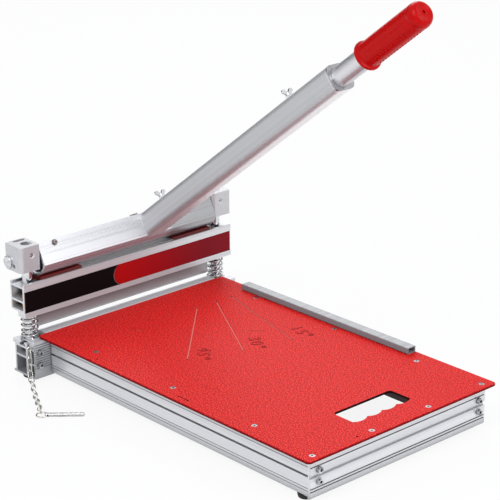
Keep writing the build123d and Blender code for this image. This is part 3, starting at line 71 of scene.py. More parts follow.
# %% Camera
camera_place = Vector((1782.1, -1640.5, 1039.8)) * mm
camera_target = Vector((-343.2, 294.1, 0.0)) * mm
camera_roll = math.radians(-0.32)
lens_length = 133.6
sensor_width = 36.0
furthest_seen = 50.0
camera_data = bpy.data.cameras.new("camera")
camera_data.lens = lens_length
camera_data.sensor_width = sensor_width
camera_data.clip_end = furthest_seen
camera = bpy.data.objects.new("camera", camera_data)
bpy.context.scene.collection.objects.link(camera)
look = (camera_target - camera_place).to_track_quat("-Z", "Y")
camera.matrix_world = (Matrix.Translation(camera_place) @ look.to_matrix().to_4x4()
                       @ Matrix.Rotation(camera_roll, 4, "Z"))
bpy.context.scene.camera = camera
bpy.context.scene.view_settings.view_transform = "Standard"
print("camera", tuple(round(v, 3) for v in camera_place))

# %% [markdown]
# The photograph is a cut-out on white, lit softly from all round. Three large area
# lamps give that. The room and the floor are plain and pale, and the camera and the
# bright metal see them as white. A dark card stands at the head's side, where only
# reflections meet it, because polished tubes need something dark to mirror before
# they look round. The lamps stay at a level where a colour renders about as written.

# %% Lamps
centre = Vector((-0.05, 0.0, 0.1))
lamps = [("key_lamp", (0.6, -2.2, 2.6), 42.0, 1.6), ("side_lamp", (2.6, 0.4, 1.6), 30.0, 1.4),
         ("back_lamp", (-2.0, 1.6, 2.2), 26.0, 1.6)]


def area_lamp(name, place, power, size):
    """A square area lamp that looks at the middle of the cutter."""
    data = bpy.data.lights.new(name, "AREA")
    data.energy = power
    data.size = size
    lamp = bpy.data.objects.new(name, data)
    bpy.context.scene.collection.objects.link(lamp)
    place = Vector(place)
    turn = (centre - place).to_track_quat("-Z", "Y").to_matrix().to_4x4()
    lamp.matrix_world = Matrix.Translation(place) @ turn


for name, place, power, size in lamps:
    area_lamp(name, place, power, size)
print("lamps", [name for name, *_ in lamps])

# %% [markdown]
# The room is a world shader. It lights the cutter with a soft cool white, but the
# camera and the bright metal see it as pure white. One mask of ray kinds tells the
# two apart, and the floor uses the same mask.

# %% Room
room_colour = (0.86, 0.88, 0.92, 1.0)
room_strength = 0.62
pure_white = (1.0, 1.0, 1.0, 1.0)


def add_node(tree, kind, place, **values):
    """Add a shader node, place it in the editor and set its properties."""
    node = tree.nodes.new(kind)
    node.location = place
    for key, value in values.items():
        setattr(node, key, value)
    return node


def add_math(tree, place, operation, *values):
    """Add a Math node, fill its inputs with numbers or sockets and return its result."""
    node = add_node(tree, "ShaderNodeMath", place, operation=operation)
    for socket, value in zip(node.inputs, values):
        if isinstance(value, float):
            socket.default_value = value
        else:
            tree.links.new(value, socket)
    return node.outputs[0]


def seen_rays(tree):
    """A mask of the rays that see a surface: camera, transmission and glossy."""
    rays = add_node(tree, "ShaderNodeLightPath", (-200, 200)).outputs
    straight = add_math(tree, (-50, 200), "ADD", rays["Is Camera Ray"], rays["Is Transmission Ray"])
    return add_math(tree, (100, 200), "ADD", straight, rays["Is Glossy Ray"])


def mix_shaders(tree, factor, first, second, out):
    """Blend two shaders by a factor socket into the surface of an output."""
    mix = add_node(tree, "ShaderNodeMixShader", (400, 0))
    tree.links.new(factor, mix.inputs["Fac"])
    tree.links.new(first.outputs[0], mix.inputs[1])
    tree.links.new(second.outputs[0], mix.inputs[2])
    tree.links.new(mix.outputs[0], out.inputs["Surface"])


world = bpy.data.worlds.new("room")
bpy.context.scene.world = world
world.use_nodes = True
tree = world.node_tree
tree.nodes.clear()
out = add_node(tree, "ShaderNodeOutputWorld", (600, 0))
soft = add_node(tree, "ShaderNodeBackground", (200, -100))
white = add_node(tree, "ShaderNodeBackground", (200, 100))
soft.inputs["Color"].default_value = room_colour
soft.inputs["Strength"].default_value = room_strength
white.inputs["Color"].default_value = pure_white
white.inputs["Strength"].default_value = 1.0
mix_shaders(tree, seen_rays(tree), soft, white, out)
print("room lit at", room_strength)

# %% [markdown]
# The floor is one plain pale plane under the feet. It glows a little to the camera,
# so that it comes out nearly white, and keeps a faint shadow round the feet.

# %% Floor
floor_size = 8.0
floor_colour = (0.86, 0.86, 0.86, 1.0)
floor_glow = 0.9


def empty_material(name):
    """A new material with an empty node tree, and the tree."""
    material = bpy.data.materials.new(name)
    material.use_nodes = True
    material.node_tree.nodes.clear()
    return material, material.node_tree


floor_height = cad_box[0][2]
bpy.ops.mesh.primitive_plane_add(size=floor_size, location=(0.0, 0.0, floor_height))
floor = bpy.context.object
floor.name = "floor"
floor_paint, tree = empty_material("pale_floor")
out = add_node(tree, "ShaderNodeOutputMaterial", (600, 0))
paint = add_node(tree, "ShaderNodeBsdfDiffuse", (200, -100))
glow = add_node(tree, "ShaderNodeEmission", (200, 100))
paint.inputs["Color"].default_value = floor_colour
glow.inputs["Strength"].default_value = 1.0
share = add_math(tree, (250, 200), "MULTIPLY", seen_rays(tree), floor_glow)
mix_shaders(tree, share, paint, glow, out)
floor.data.materials.append(floor_paint)
bpy.ops.object.select_all(action="DESELECT")
print("floor at", round(floor_height, 4))

# %% [markdown]
# The dark card stands upright behind the head. It shows only in reflections: the
# camera, soft light and shadows pass it by.

# %% Dark card
card_place = (-1.9, 0.0, 0.75)
card_size = (1.7, 1.9, 1.0)
card_colour = (0.06, 0.06, 0.065, 1.0)
bpy.ops.mesh.primitive_plane_add(size=1.0, location=card_place, rotation=(0.0, math.radians(90.0), 0.0))
card = bpy.context.object
card.name = "dark_card"
card.scale = card_size
card.visible_camera = False
card.visible_diffuse = False
card.visible_shadow = False
card_paint, tree = empty_material("dark_card_paint")
out = add_node(tree, "ShaderNodeOutputMaterial", (300, 0))
felt = add_node(tree, "ShaderNodeBsdfDiffuse", (0, 0))
felt.inputs["Color"].default_value = card_colour
tree.links.new(felt.outputs[0], out.inputs["Surface"])
card.data.materials.append(card_paint)
bpy.ops.object.select_all(action="DESELECT")
print("card at", card_place)

# %% [markdown]
# Most finishes here share four effects. Drawn metal has fine lines along the
# direction in which it was pressed through its die. Powder coat and moulded plastic
# have a fine grain. Machined edges are rubbed brighter, and narrow grooves get painted shade.
# Each effect is a node group, made once, and every finish sets its own amounts.

# %% Group: drawn lines


def new_group(name, inputs, outputs):
    """A shader node group with named float or vector sockets."""
    group = bpy.data.node_groups.new(name, "ShaderNodeTree")
    for label, kind, value in inputs:
        socket = group.interface.new_socket(name=label, in_out="INPUT", socket_type=kind)
        socket.default_value = value
    for label, kind in outputs:
        group.interface.new_socket(name=label, in_out="OUTPUT", socket_type=kind)
    return group


def make_drawn_lines():
    """Fine lines along one direction, as a height and a soft mask."""
    group = new_group("drawn_lines",
                      [("Stretch", "NodeSocketVector", (2.0, 900.0, 900.0)),
                       ("Turn", "NodeSocketVector", (0.0, 0.0, 0.0))],
                      [("Height", "NodeSocketFloat"), ("Mask", "NodeSocketFloat")])
    start = add_node(group, "NodeGroupInput", (-800, 0))
    place = add_node(group, "ShaderNodeTexCoord", (-800, 300))
    turn = add_node(group, "ShaderNodeMapping", (-600, 200))
    stretch = add_node(group, "ShaderNodeVectorMath", (-400, 200), operation="MULTIPLY")
    fine = add_node(group, "ShaderNodeTexNoise", (-200, 200))
    fine.inputs["Scale"].default_value = 1.0
    fine.inputs["Detail"].default_value = 3.0
    broad_size = add_node(group, "ShaderNodeVectorMath", (-400, -100), operation="SCALE")
    broad_size.inputs["Scale"].default_value = 0.12
    broad = add_node(group, "ShaderNodeTexNoise", (-200, -100))
    broad.inputs["Scale"].default_value = 1.0
    broad.inputs["Detail"].default_value = 2.0
    end = add_node(group, "NodeGroupOutput", (200, 0))
    group.links.new(place.outputs["Object"], turn.inputs["Vector"])
    group.links.new(start.outputs["Turn"], turn.inputs["Rotation"])
    group.links.new(turn.outputs["Vector"], stretch.inputs[0])
    group.links.new(start.outputs["Stretch"], stretch.inputs[1])
    group.links.new(stretch.outputs[0], fine.inputs["Vector"])
    group.links.new(stretch.outputs[0], broad_size.inputs[0])
    group.links.new(broad_size.outputs[0], broad.inputs["Vector"])
    group.links.new(fine.outputs["Fac"], end.inputs["Height"])
    group.links.new(broad.outputs["Fac"], end.inputs["Mask"])
    return group

# %% Group: fine grain


def make_fine_grain():
    """A speckle of two sizes, as a height and a mask."""
    group = new_group("fine_grain",
                      [("Size", "NodeSocketFloat", 900.0)],
                      [("Height", "NodeSocketFloat"), ("Mask", "NodeSocketFloat")])
    start = add_node(group, "NodeGroupInput", (-800, 0))
    place = add_node(group, "ShaderNodeTexCoord", (-800, 300))
    small = add_node(group, "ShaderNodeTexNoise", (-400, 200))
    small.inputs["Detail"].default_value = 2.0
    large = add_node(group, "ShaderNodeTexNoise", (-400, -100))
    large.inputs["Detail"].default_value = 3.0
    end = add_node(group, "NodeGroupOutput", (200, 0))
    for noise in (small, large):
        group.links.new(place.outputs["Object"], noise.inputs["Vector"])
    large_size = add_math(group, (-600, -100), "MULTIPLY", start.outputs["Size"], 0.28)
    group.links.new(start.outputs["Size"], small.inputs["Scale"])
    group.links.new(large_size, large.inputs["Scale"])
    part = add_math(group, (-200, -200), "MULTIPLY", large.outputs["Fac"], 0.4)
    both = add_math(group, (-100, 0), "MULTIPLY_ADD", small.outputs["Fac"], 0.6, part)
    group.links.new(small.outputs["Fac"], end.inputs["Height"])
    group.links.new(both, end.inputs["Mask"])
    return group

# %% Group: rubbed edges


def make_rubbed_edges():
    """A mask of outer edges, broken up by a noise."""
    group = new_group("rubbed_edges",
                      [("Width", "NodeSocketFloat", 0.0008), ("Amount", "NodeSocketFloat", 1.0)],
                      [("Mask", "NodeSocketFloat")])
    start = add_node(group, "NodeGroupInput", (-800, 0))
    rounded = add_node(group, "ShaderNodeBevel", (-600, 200), samples=4)
    flat = add_node(group, "ShaderNodeNewGeometry", (-600, -50))
    same = add_node(group, "ShaderNodeVectorMath", (-400, 100), operation="DOT_PRODUCT")
    edge = add_node(group, "ShaderNodeMapRange", (-200, 100))
    edge.inputs["From Min"].default_value = 0.99
    edge.inputs["From Max"].default_value = 0.80
    place = add_node(group, "ShaderNodeTexCoord", (-800, -300))
    spots = add_node(group, "ShaderNodeTexNoise", (-600, -300))
    spots.inputs["Scale"].default_value = 160.0
    spots.inputs["Detail"].default_value = 4.0
    broken = add_node(group, "ShaderNodeMapRange", (-400, -300))
    broken.inputs["From Min"].default_value = 0.35
    broken.inputs["From Max"].default_value = 0.60
    end = add_node(group, "NodeGroupOutput", (350, 0))
    group.links.new(start.outputs["Width"], rounded.inputs["Radius"])
    group.links.new(rounded.outputs["Normal"], same.inputs[0])
    group.links.new(flat.outputs["Normal"], same.inputs[1])
    group.links.new(same.outputs["Value"], edge.inputs["Value"])
    group.links.new(place.outputs["Object"], spots.inputs["Vector"])
    group.links.new(spots.outputs["Fac"], broken.inputs["Value"])
    both = add_math(group, (0, 0), "MULTIPLY", edge.outputs[0], broken.outputs[0])
    level = add_math(group, (150, 0), "MULTIPLY", both, start.outputs["Amount"])
    group.links.new(level, end.inputs["Mask"])
    return group

# %% Group: painted crevice shade


def make_painted_crevice_shade():
    """A mask of grooves and corners that little light reaches, where shade is painted in."""
    group = new_group("painted_crevice_shade",
                      [("Reach", "NodeSocketFloat", 0.003), ("Amount", "NodeSocketFloat", 1.0)],
                      [("Mask", "NodeSocketFloat")])
    start = add_node(group, "NodeGroupInput", (-600, 0))
    open_sky = add_node(group, "ShaderNodeAmbientOcclusion", (-400, 0), samples=8)
    shut = add_node(group, "ShaderNodeMapRange", (-200, 0))
    shut.inputs["From Min"].default_value = 0.9
    shut.inputs["From Max"].default_value = 0.2
    end = add_node(group, "NodeGroupOutput", (200, 0))
    group.links.new(start.outputs["Reach"], open_sky.inputs["Distance"])
    group.links.new(open_sky.outputs["AO"], shut.inputs["Value"])
    level = add_math(group, (0, 0), "MULTIPLY", shut.outputs[0], start.outputs["Amount"])
    group.links.new(level, end.inputs["Mask"])
    return group


drawn_lines = make_drawn_lines()
fine_grain = make_fine_grain()
rubbed_edges = make_rubbed_edges()
painted_crevice_shade = make_painted_crevice_shade()
print("groups", [group.name for group in bpy.data.node_groups])

# %% [markdown]
# A finish is one Principled BSDF. Its plain numbers sit on its own sockets, and the
# groups feed only what varies: colour, roughness and the height of a bump.

# %% Helpers for finishes


def linear(red, green, blue):
    """A colour as painters write it, from 0 to 255, as linear light."""
    values = []
    for part in (red, green, blue):
        part = part / 255.0
        values.append(part / 12.92 if part <= 0.04045 else ((part + 0.055) / 1.055) ** 2.4)
    return (*values, 1.0)


def use_group(tree, group, place, **values):
    """Place a node group in a material and set its inputs."""
    node = add_node(tree, "ShaderNodeGroup", place, node_tree=group)
    for key, value in values.items():
        node.inputs[key].default_value = value
    return node


def start_finish(name, metallic, roughness, sheen_level=0.5):
    """A new material with a Principled BSDF, ready for its groups."""
    finish, tree = empty_material(name)
    out = add_node(tree, "ShaderNodeOutputMaterial", (900, 0))
    shader = add_node(tree, "ShaderNodeBsdfPrincipled", (600, 0))
    shader.inputs["Metallic"].default_value = metallic
    shader.inputs["Roughness"].default_value = roughness
    shader.inputs["Specular IOR Level"].default_value = sheen_level
    tree.links.new(shader.outputs[0], out.inputs["Surface"])
    return finish, tree, shader


def mix_colours(tree, place, factor, first, second):
    """Blend two colours by a factor socket and return the result's socket."""
    node = add_node(tree, "ShaderNodeMix", place, data_type="RGBA")
    tree.links.new(factor, node.inputs["Factor"])
    colour_inputs = node.inputs[6], node.inputs[7]
    for socket, value in zip(colour_inputs, (first, second)):
        if isinstance(value, tuple):
            socket.default_value = value
        else:
            tree.links.new(value, socket)
    return node.outputs[2]


def spread(tree, place, value, low, high, start=0.35, stop=0.65):
    """Map a mask from one range to another and return the result's socket."""
    node = add_node(tree, "ShaderNodeMapRange", place)
    tree.links.new(value, node.inputs["Value"])
    node.inputs["From Min"].default_value = start
    node.inputs["From Max"].default_value = stop
    node.inputs["To Min"].default_value = low
    node.inputs["To Max"].default_value = high
    return node.outputs[0]


def places_of(tree, column, row):
    """The X, Y and Z of a point in the frame, as the outputs of a node."""
    place = add_node(tree, "ShaderNodeTexCoord", (column, row))
    parts = add_node(tree, "ShaderNodeSeparateXYZ", (column + 200, row))
    tree.links.new(place.outputs["Object"], parts.inputs[0])
    return parts.outputs


def fade_along(tree, colour, fade):
    """Paint light and shade: fade a colour to another between two places along an axis of the frame."""
    axis, start, stop, shade = fade
    share = spread(tree, (450, 600), places_of(tree, 200, 600)[axis], 0.0, 1.0, start, stop)
    return mix_colours(tree, (500, 300), share, colour, linear(*shade))


def bump(tree, shader, height, strength, depth):
    """Feed a height through a Bump node into the shader's normal."""
    node = add_node(tree, "ShaderNodeBump", (400, -300))
    node.inputs["Strength"].default_value = strength
    node.inputs["Distance"].default_value = depth
    tree.links.new(height, node.inputs["Height"])
    tree.links.new(node.outputs[0], shader.inputs["Normal"])

# %% [markdown]
# Anodised aluminium is the finish of the rails, beams, tubes and fence. It is a
# satin metal with hair-fine lines along each extrusion. The lines come from a noise
# stretched along the piece, so there is a stretch for each direction: along the
# table, across the head and along the handle. Where one side of a piece lies in shade
# or catches light, that shade or highlight is painted in: the colour fades to a second tone there.

# %% Aluminium finishes
along_table = (3.0, 1500.0, 1500.0)
across_head = (1500.0, 3.0, 1500.0)
handle_angle = math.radians(37.27)
handle_turn = (0.0, handle_angle, 0.0)
rubbed_metal = (246, 246, 248)
# Painted shade: the colour laid into the crevices and grooves of the metal.
crevice_shade_metal = (70, 70, 74)
fine_bump = 0.0001

# Each fade of painted light and shade names an axis, where it starts and ends in metres, and the second
# tone.
# Painted shade: the aluminium darkens to grey towards its lower edge.
low_edge_shade = ("Z", -0.045, -0.064, (150, 151, 154))
# Painted shade: the base beam and cross rail darken from near their top towards the bottom.
base_low_shade = ("Z", -0.01, -0.064, (158, 159, 162))
# Painted shade: the inner face of the far rail, which lies in deep shade, is painted near-black.
far_rail_inside_shade = ("Y", 0.160, 0.150, (58, 34, 36))
# Painted highlight along the handle's near side.
handle_near_highlight = ("Y", 0.0255, 0.033, (247, 246, 248))
# Painted shade along the handle's far side.
handle_far_shade = ("Y", 0.056, 0.061, (196, 197, 199))
# Painted shadow: the part of the lever behind the handle, in the handle's shadow, is painted grey.
lever_handle_shadow = ("Y", 0.062, 0.078, (168, 169, 172))


def aluminium(name, stretch, turn=(0.0, 0.0, 0.0), light=(230, 231, 234), dark=(214, 215, 219), rough=0.34,
              metallic=0.5, worn_edge=0.2, line_depth=0.1, crevice_shade=1.0, painted_fades=(),
              edge_width=0.0005, reach=0.0035):
    """Satin aluminium with drawn lines, rubbed brighter along its edges, with painted shade in its
    crevices and the painted light and shade of its fades.
    """
    finish, tree, shader = start_finish(name, metallic, rough)
    lines = use_group(tree, drawn_lines, (-400, 200), Stretch=stretch, Turn=turn)
    edges = use_group(tree, rubbed_edges, (-400, -200), Width=edge_width, Amount=worn_edge)
    shade_in_crevices = use_group(tree, painted_crevice_shade, (200, -50), Reach=reach, Amount=crevice_shade)
    streak = spread(tree, (-200, 200), lines.outputs["Mask"], 0.0, 1.0)
    colour = mix_colours(tree, (0, 200), streak, linear(*dark), linear(*light))
    colour = mix_colours(tree, (200, 200), edges.outputs["Mask"], colour, linear(*rubbed_metal))
    # Painted shade in the crevices.
    colour = mix_colours(tree, (350, 200), shade_in_crevices.outputs["Mask"], colour, linear(*crevice_shade_metal))
    # The fades paint shade and highlight onto one side of the piece.
    for fade in painted_fades:
        colour = fade_along(tree, colour, fade)
    tree.links.new(colour, shader.inputs["Base Color"])
    rough_map = spread(tree, (0, -100), lines.outputs["Mask"], rough + 0.08, rough - 0.06)
    tree.links.new(rough_map, shader.inputs["Roughness"])
    bump(tree, shader, lines.outputs["Height"], line_depth, fine_bump)
    return finish


alu_table_way = aluminium("aluminium_along_table", along_table, painted_fades=(low_edge_shade,))
alu_far_rail = aluminium("aluminium_of_far_rail", along_table, painted_fades=(low_edge_shade, far_rail_inside_shade))
alu_head_way = aluminium("aluminium_across_head", across_head, painted_fades=(low_edge_shade,))
# The base beam's slightly darker tones are painted shade too.
alu_base_way = aluminium("aluminium_of_base_beam", across_head, light=(222, 223, 226),
                         dark=(204, 205, 209), painted_fades=(base_low_shade,), reach=0.007)
alu_beam_way = aluminium("aluminium_of_blade_beam", across_head, reach=0.010)
# The handle's grey, darker than the other aluminium, is painted shade.
alu_handle_way = aluminium("aluminium_along_handle", along_table, handle_turn,
                           light=(200, 201, 203), dark=(192, 193, 196), rough=0.4, metallic=0.6,
                           worn_edge=1.0, line_depth=0.0, crevice_shade=0.0, edge_width=0.005,
                           painted_fades=(handle_near_highlight, handle_far_shade))
alu_inner = aluminium("aluminium_of_inner_tube", along_table, handle_turn,
                      light=(222, 222, 225), dark=(212, 212, 216), metallic=0.75, worn_edge=0.0,
                      line_depth=0.0, crevice_shade=0.6)
alu_lever = aluminium("aluminium_of_lever", (1500.0, 2.0, 1500.0), light=(236, 237, 241),
                      dark=(228, 229, 234), rough=0.3, metallic=0.85, worn_edge=0.0,
                      line_depth=0.0, crevice_shade=0.0, painted_fades=(lever_handle_shadow,))
# The fence's darker, duller grey is painted shade on the same anodised aluminium.
alu_fence_shaded = aluminium("aluminium_of_fence_shaded", across_head, light=(166, 167, 170), dark=(158, 159, 162),
                      rough=0.4, metallic=0.35, worn_edge=0.0, line_depth=0.02)
print("aluminium finishes made")

# %% [markdown]
# The table is powder coated in a bright red. Up close the coat is a mottle of
# lighter and darker specks, with a soft orange-peel surface, and painted shade
# makes it darker on the upright edge. The angle grooves carry a painted pale pink
# highlight, and painted shade darkens their end pits and the wall of the carry
# cut-out. Each is found by its place in the frame. Rays that have bounced see a muted
# red, so that the bare metal beside the table mirrors it only faintly.

# %% Red powder coat
coat_dark = (191, 2, 4)
coat_light = (255, 66, 60)
# Painted light: shade on upright faces, a highlight in the grooves, shade in the pits and on the cut-out
# wall.
coat_upright_shade = (112, 2, 8)
coat_groove_highlight = (246, 150, 142)
coat_pit_shade = (96, 2, 6)
coat_cutout_shade = (34, 0, 2)
coat_bounced = (150, 84, 88)
groove_floor = (-0.00065, 0.0004)
pit_floor = (-0.0005, 0.00004)
groove_width = (0.0, 0.15)
groove_length = (-0.08, 0.17)
cutout_width = (0.0, 0.065)
cutout_length = (0.22, 0.03)


def red_powder_coat():
    """Speckled red powder coat, with a painted highlight in its grooves and painted shade on its upright
    faces, pits and cut-out wall.
    """
    finish, tree, shader = start_finish("red_powder_coat", 0.0, 0.55, sheen_level=0.07)
    grain = use_group(tree, fine_grain, (-600, 200), Size=520.0)
    facing = add_node(tree, "ShaderNodeNewGeometry", (-600, -200))
    tilt = add_node(tree, "ShaderNodeSeparateXYZ", (-400, -200))
    tree.links.new(facing.outputs["Normal"], tilt.inputs[0])
    upward = spread(tree, (-200, -200), tilt.outputs["Z"], 0.0, 1.0, 0.2, 0.8)
    place = places_of(tree, -600, -400)

    def near(axis, span, row):
        """One where the coat lies within a span, its middle and its reach."""
        return add_math(tree, (-200, row), "COMPARE", place[axis], *span)

    def both(first, second, row):
        """One where two masks are one."""
        return add_math(tree, (0, row), "MULTIPLY", first, second)

    groove_window = both(near("Y", groove_width, -640), near("X", groove_length, -760), -700)
    groove_highlight = both(near("Z", groove_floor, -400), groove_window, -500)
    cutout = both(near("Y", cutout_width, -880), near("X", cutout_length, -1000), -940)
    upright = add_math(tree, (0, -1060), "SUBTRACT", 1.0, upward)
    path = add_node(tree, "ShaderNodeLightPath", (-200, -1200)).outputs
    bounced = add_math(tree, (0, -1200), "MAXIMUM", path["Is Diffuse Ray"], path["Is Glossy Ray"])
    # Layers of painted highlight and painted shade, then the muted red that bounced rays see.
    layers = [(groove_highlight, coat_groove_highlight), (near("Z", pit_floor, -520), coat_pit_shade),
              (both(cutout, upright, -1120), coat_cutout_shade), (bounced, coat_bounced)]
    speck = spread(tree, (-300, 200), grain.outputs["Height"], 0.0, 1.0, 0.48, 0.61)
    body = mix_colours(tree, (-50, 200), speck, linear(*coat_dark), linear(*coat_light))
    # Painted shade on the faces that do not look up.
    colour = mix_colours(tree, (150, 200), upward, linear(*coat_upright_shade), body)
    for number, (mask, tone) in enumerate(layers):
        colour = mix_colours(tree, (300 + 60 * number, 200), mask, colour, linear(*tone))
    tree.links.new(colour, shader.inputs["Base Color"])
    rough_map = spread(tree, (0, -50), grain.outputs["Mask"], 0.40, 0.54)
    tree.links.new(rough_map, shader.inputs["Roughness"])
    bump(tree, shader, grain.outputs["Height"], 0.25, 0.00025)
    return finish


table_coat = red_powder_coat()
print("coat", table_coat.name)

# %% [markdown]
# Screws, posts, axle and springs are bright zinc or chrome plate: nearly mirrors,
# with faint streaks and painted shade in the recesses. Blade and flat bars are
# ground steel, whose lines and painted crevice shade are made as those of the aluminium.

# %% Plated and ground steel
rubbed_plate = (250, 250, 250)
# Painted shade: the colour laid into the recesses of the plate.
crevice_shade_plate = (16, 16, 18)


def plated(name, light, dark, rough, wear=0.5, size=260.0, metallic=1.0, crevice_shade=0.0):
    """Bright plate with a faint cloudy variation and painted shade in its recesses."""
    finish, tree, shader = start_finish(name, metallic, rough)
    grain = use_group(tree, fine_grain, (-600, 200), Size=size)
    edges = use_group(tree, rubbed_edges, (-600, -200), Width=0.0005, Amount=wear)
    shade_in_crevices = use_group(tree, painted_crevice_shade, (200, -50), Reach=0.004, Amount=crevice_shade)
    cloud = spread(tree, (-300, 200), grain.outputs["Mask"], 0.0, 1.0)
    colour = mix_colours(tree, (-50, 200), cloud, linear(*dark), linear(*light))
    colour = mix_colours(tree, (200, 200), edges.outputs["Mask"], colour, linear(*rubbed_plate))
    # Painted shade in the recesses.
    colour = mix_colours(tree, (350, 200), shade_in_crevices.outputs["Mask"], colour, linear(*crevice_shade_plate))
    tree.links.new(colour, shader.inputs["Base Color"])
    rough_map = spread(tree, (0, -50), grain.outputs["Mask"], rough + 0.06, rough - 0.04)
    tree.links.new(rough_map, shader.inputs["Roughness"])
    bump(tree, shader, grain.outputs["Height"], 0.06, fine_bump)
    return finish


bright_zinc = plated("bright_zinc", (226, 227, 230), (196, 197, 201), 0.20)
screw_zinc = plated("screw_zinc", (176, 168, 170), (132, 122, 124), 0.3, wear=0.2, crevice_shade=0.6)
cap_zinc = plated("cap_zinc", (228, 229, 232), (130, 130, 134), 0.12, wear=0.8, crevice_shade=0.8)
bright_chrome = plated("bright_chrome", (232, 233, 236), (208, 209, 213), 0.10, size=120.0)
spring_steel = plated("spring_steel", (206, 205, 206), (158, 157, 160), 0.22)
block_plate = plated("zinc_block", (206, 206, 209), (198, 198, 202), 0.36, wear=0.2, metallic=0.45)
# The mouth liner's darker zinc is painted shade inside the handle's mouth.
shaded_liner_plate = plated("zinc_liner_shaded", (186, 186, 190), (160, 160, 164), 0.2, wear=0.0)
nickel_wire = plated("nickel_wire", (222, 220, 216), (180, 178, 174), 0.18)
bearing_bronze = plated("bearing_bronze", (190, 150, 92), (150, 112, 64), 0.34)
blade_steel = aluminium("ground_blade_steel", (900.0, 3.0, 160.0), light=(206, 205, 206),
                        dark=(150, 147, 150), rough=0.28)
flat_steel = aluminium("brushed_flat_steel", (1200.0, 4.0, 1200.0), light=(200, 199, 201),
                       dark=(150, 148, 150), rough=0.36)
print("plated and ground finishes made")

# %% [markdown]
# The plastics and the rubber are moulded. Their colour is even, so the life is in
# the sheen: a fine grain breaks the highlight, and handled edges are rubbed smooth.

# %% Plastics and rubber
edge_lift = 26
# Painted shade: the red label darkens along Y towards the far side.
label_far_shade = ("Y", -0.02, 0.15, (132, 10, 28))


def moulded(name, dark, light, rough, size=500.0, strength=0.15, sheen_level=0.4, painted_fades=()):
    """Moulded plastic or rubber with a fine grain, and the painted shade of its fades."""
    finish, tree, shader = start_finish(name, 0.0, rough, sheen_level)
    grain = use_group(tree, fine_grain, (-600, 200), Size=size)
    edges = use_group(tree, rubbed_edges, (-600, -200), Width=0.0006, Amount=0.5)
    cloud = spread(tree, (-300, 200), grain.outputs["Mask"], 0.0, 1.0)
    edge_tone = tuple(min(255, part + edge_lift) for part in light)
    colour = mix_colours(tree, (-50, 200), cloud, linear(*dark), linear(*light))
    colour = mix_colours(tree, (200, 200), edges.outputs["Mask"], colour, linear(*edge_tone))
    # The fades paint shade onto one side of the piece.
    for fade in painted_fades:
        colour = fade_along(tree, colour, fade)
    tree.links.new(colour, shader.inputs["Base Color"])
    rough_map = spread(tree, (0, -50), grain.outputs["Mask"], rough - 0.05, rough + 0.07)
    tree.links.new(rough_map, shader.inputs["Roughness"])
    bump(tree, shader, grain.outputs["Height"], strength, fine_bump)
    return finish


pad_plastic = moulded("dark_red_pad", (92, 12, 14), (108, 18, 20), 0.42)
label_black = moulded("label_black", (10, 2, 3), (16, 5, 6), 0.5, size=900.0, sheen_level=0.08)
label_red = moulded("label_red", (178, 4, 8), (190, 8, 12), 0.5, size=900.0, sheen_level=0.12,
                    painted_fades=(label_far_shade,))
grip_plastic = moulded("grip_red", (184, 0, 0), (192, 0, 2), 0.3, size=300.0, sheen_level=0.14)
guide_plastic = moulded("guide_black", (26, 26, 28), (34, 34, 36), 0.5)
foot_rubber = moulded("foot_rubber", (16, 16, 17), (26, 26, 27), 0.62, size=700.0, strength=0.3)
number_ink = moulded("number_ink", (92, 0, 4), (104, 2, 6), 0.6, size=900.0, sheen_level=0.1)
print("finishes", len(bpy.data.materials))

# %% [markdown]
# Each piece of the frame now gets the finish of its real part. A piece keeps its
# shape: only its material slots change.

# %% Finishes of the frame's pieces


def give_finish(piece, finish):
    """Dress a piece in one finish."""
    piece.data.materials.clear()
    piece.data.materials.append(finish)


finishes = {
    table_coat: ["table_plate"],
    alu_table_way: ["side_rail_near"],
    alu_far_rail: ["side_rail_far"],
    alu_fence_shaded: ["fence_tube"],
    alu_head_way: ["end_plate", "anvil_strip"],
    alu_beam_way: ["upper_beam"],
    alu_base_way: ["head_cross_rail", "base_beam"],
    alu_lever: ["lever_body"],
    alu_handle_way: ["handle_outer_tube", "handle_stub"],
    alu_inner: ["handle_inner_tube"],
    screw_zinc: ["table_screws", "lever_face_screws"],
    cap_zinc: ["end_plate_screws", "cross_screws"],
    bright_zinc: ["corner_screws", "post_nuts", "fence_screws", "foot_screws", "spring_seats",
                  "blade_screws", "block_set_screws", "pivot_axle", "axle_nut", "axle_washers",
                  "stub_bolts", "wing_nuts", "lower_wing_screw", "upper_wing_screw"],
    bright_chrome: ["post_near", "post_far"],
    shaded_liner_plate: ["mouth_liner"],
    spring_steel: ["spring_near", "spring_far", "locking_pin"],
    block_plate: ["end_block_near", "end_block_far"],
    nickel_wire: ["chain_links", "chain_anchor", "pin_ring"],
    bearing_bronze: ["beam_bush_near", "beam_bush_far"],
    blade_steel: ["cutting_blade"],
    flat_steel: ["blade_clamp_bar", "pad_spacer_bar"],
    pad_plastic: ["wear_pad_near", "wear_pad_far"],
    label_black: ["label_panel_black"],
    label_red: ["label_panel_red"],
    grip_plastic: ["hand_grip"],
    guide_plastic: ["tube_guide"],
    foot_rubber: ["foot_head_near", "foot_head_far", "foot_front_near", "foot_front_far"],
}
dressed = set()
for finish, names in finishes.items():
    for name in names:
        give_finish(nodes[name], finish)
        dressed.add(name)
print("left undressed", sorted(set(nodes) - dressed))

# %% [markdown]
# The grip is a moulded sleeve: a thick rounded rim at its lower end, a body with
# shallow flutes and rows of small nubs, a thin groove, and a domed end with a sunken
# middle round the air hole. It is turned from one outline, because every part of it
# but the flutes and nubs is round. It is made standing on the origin and laid along
# the handle at the end.

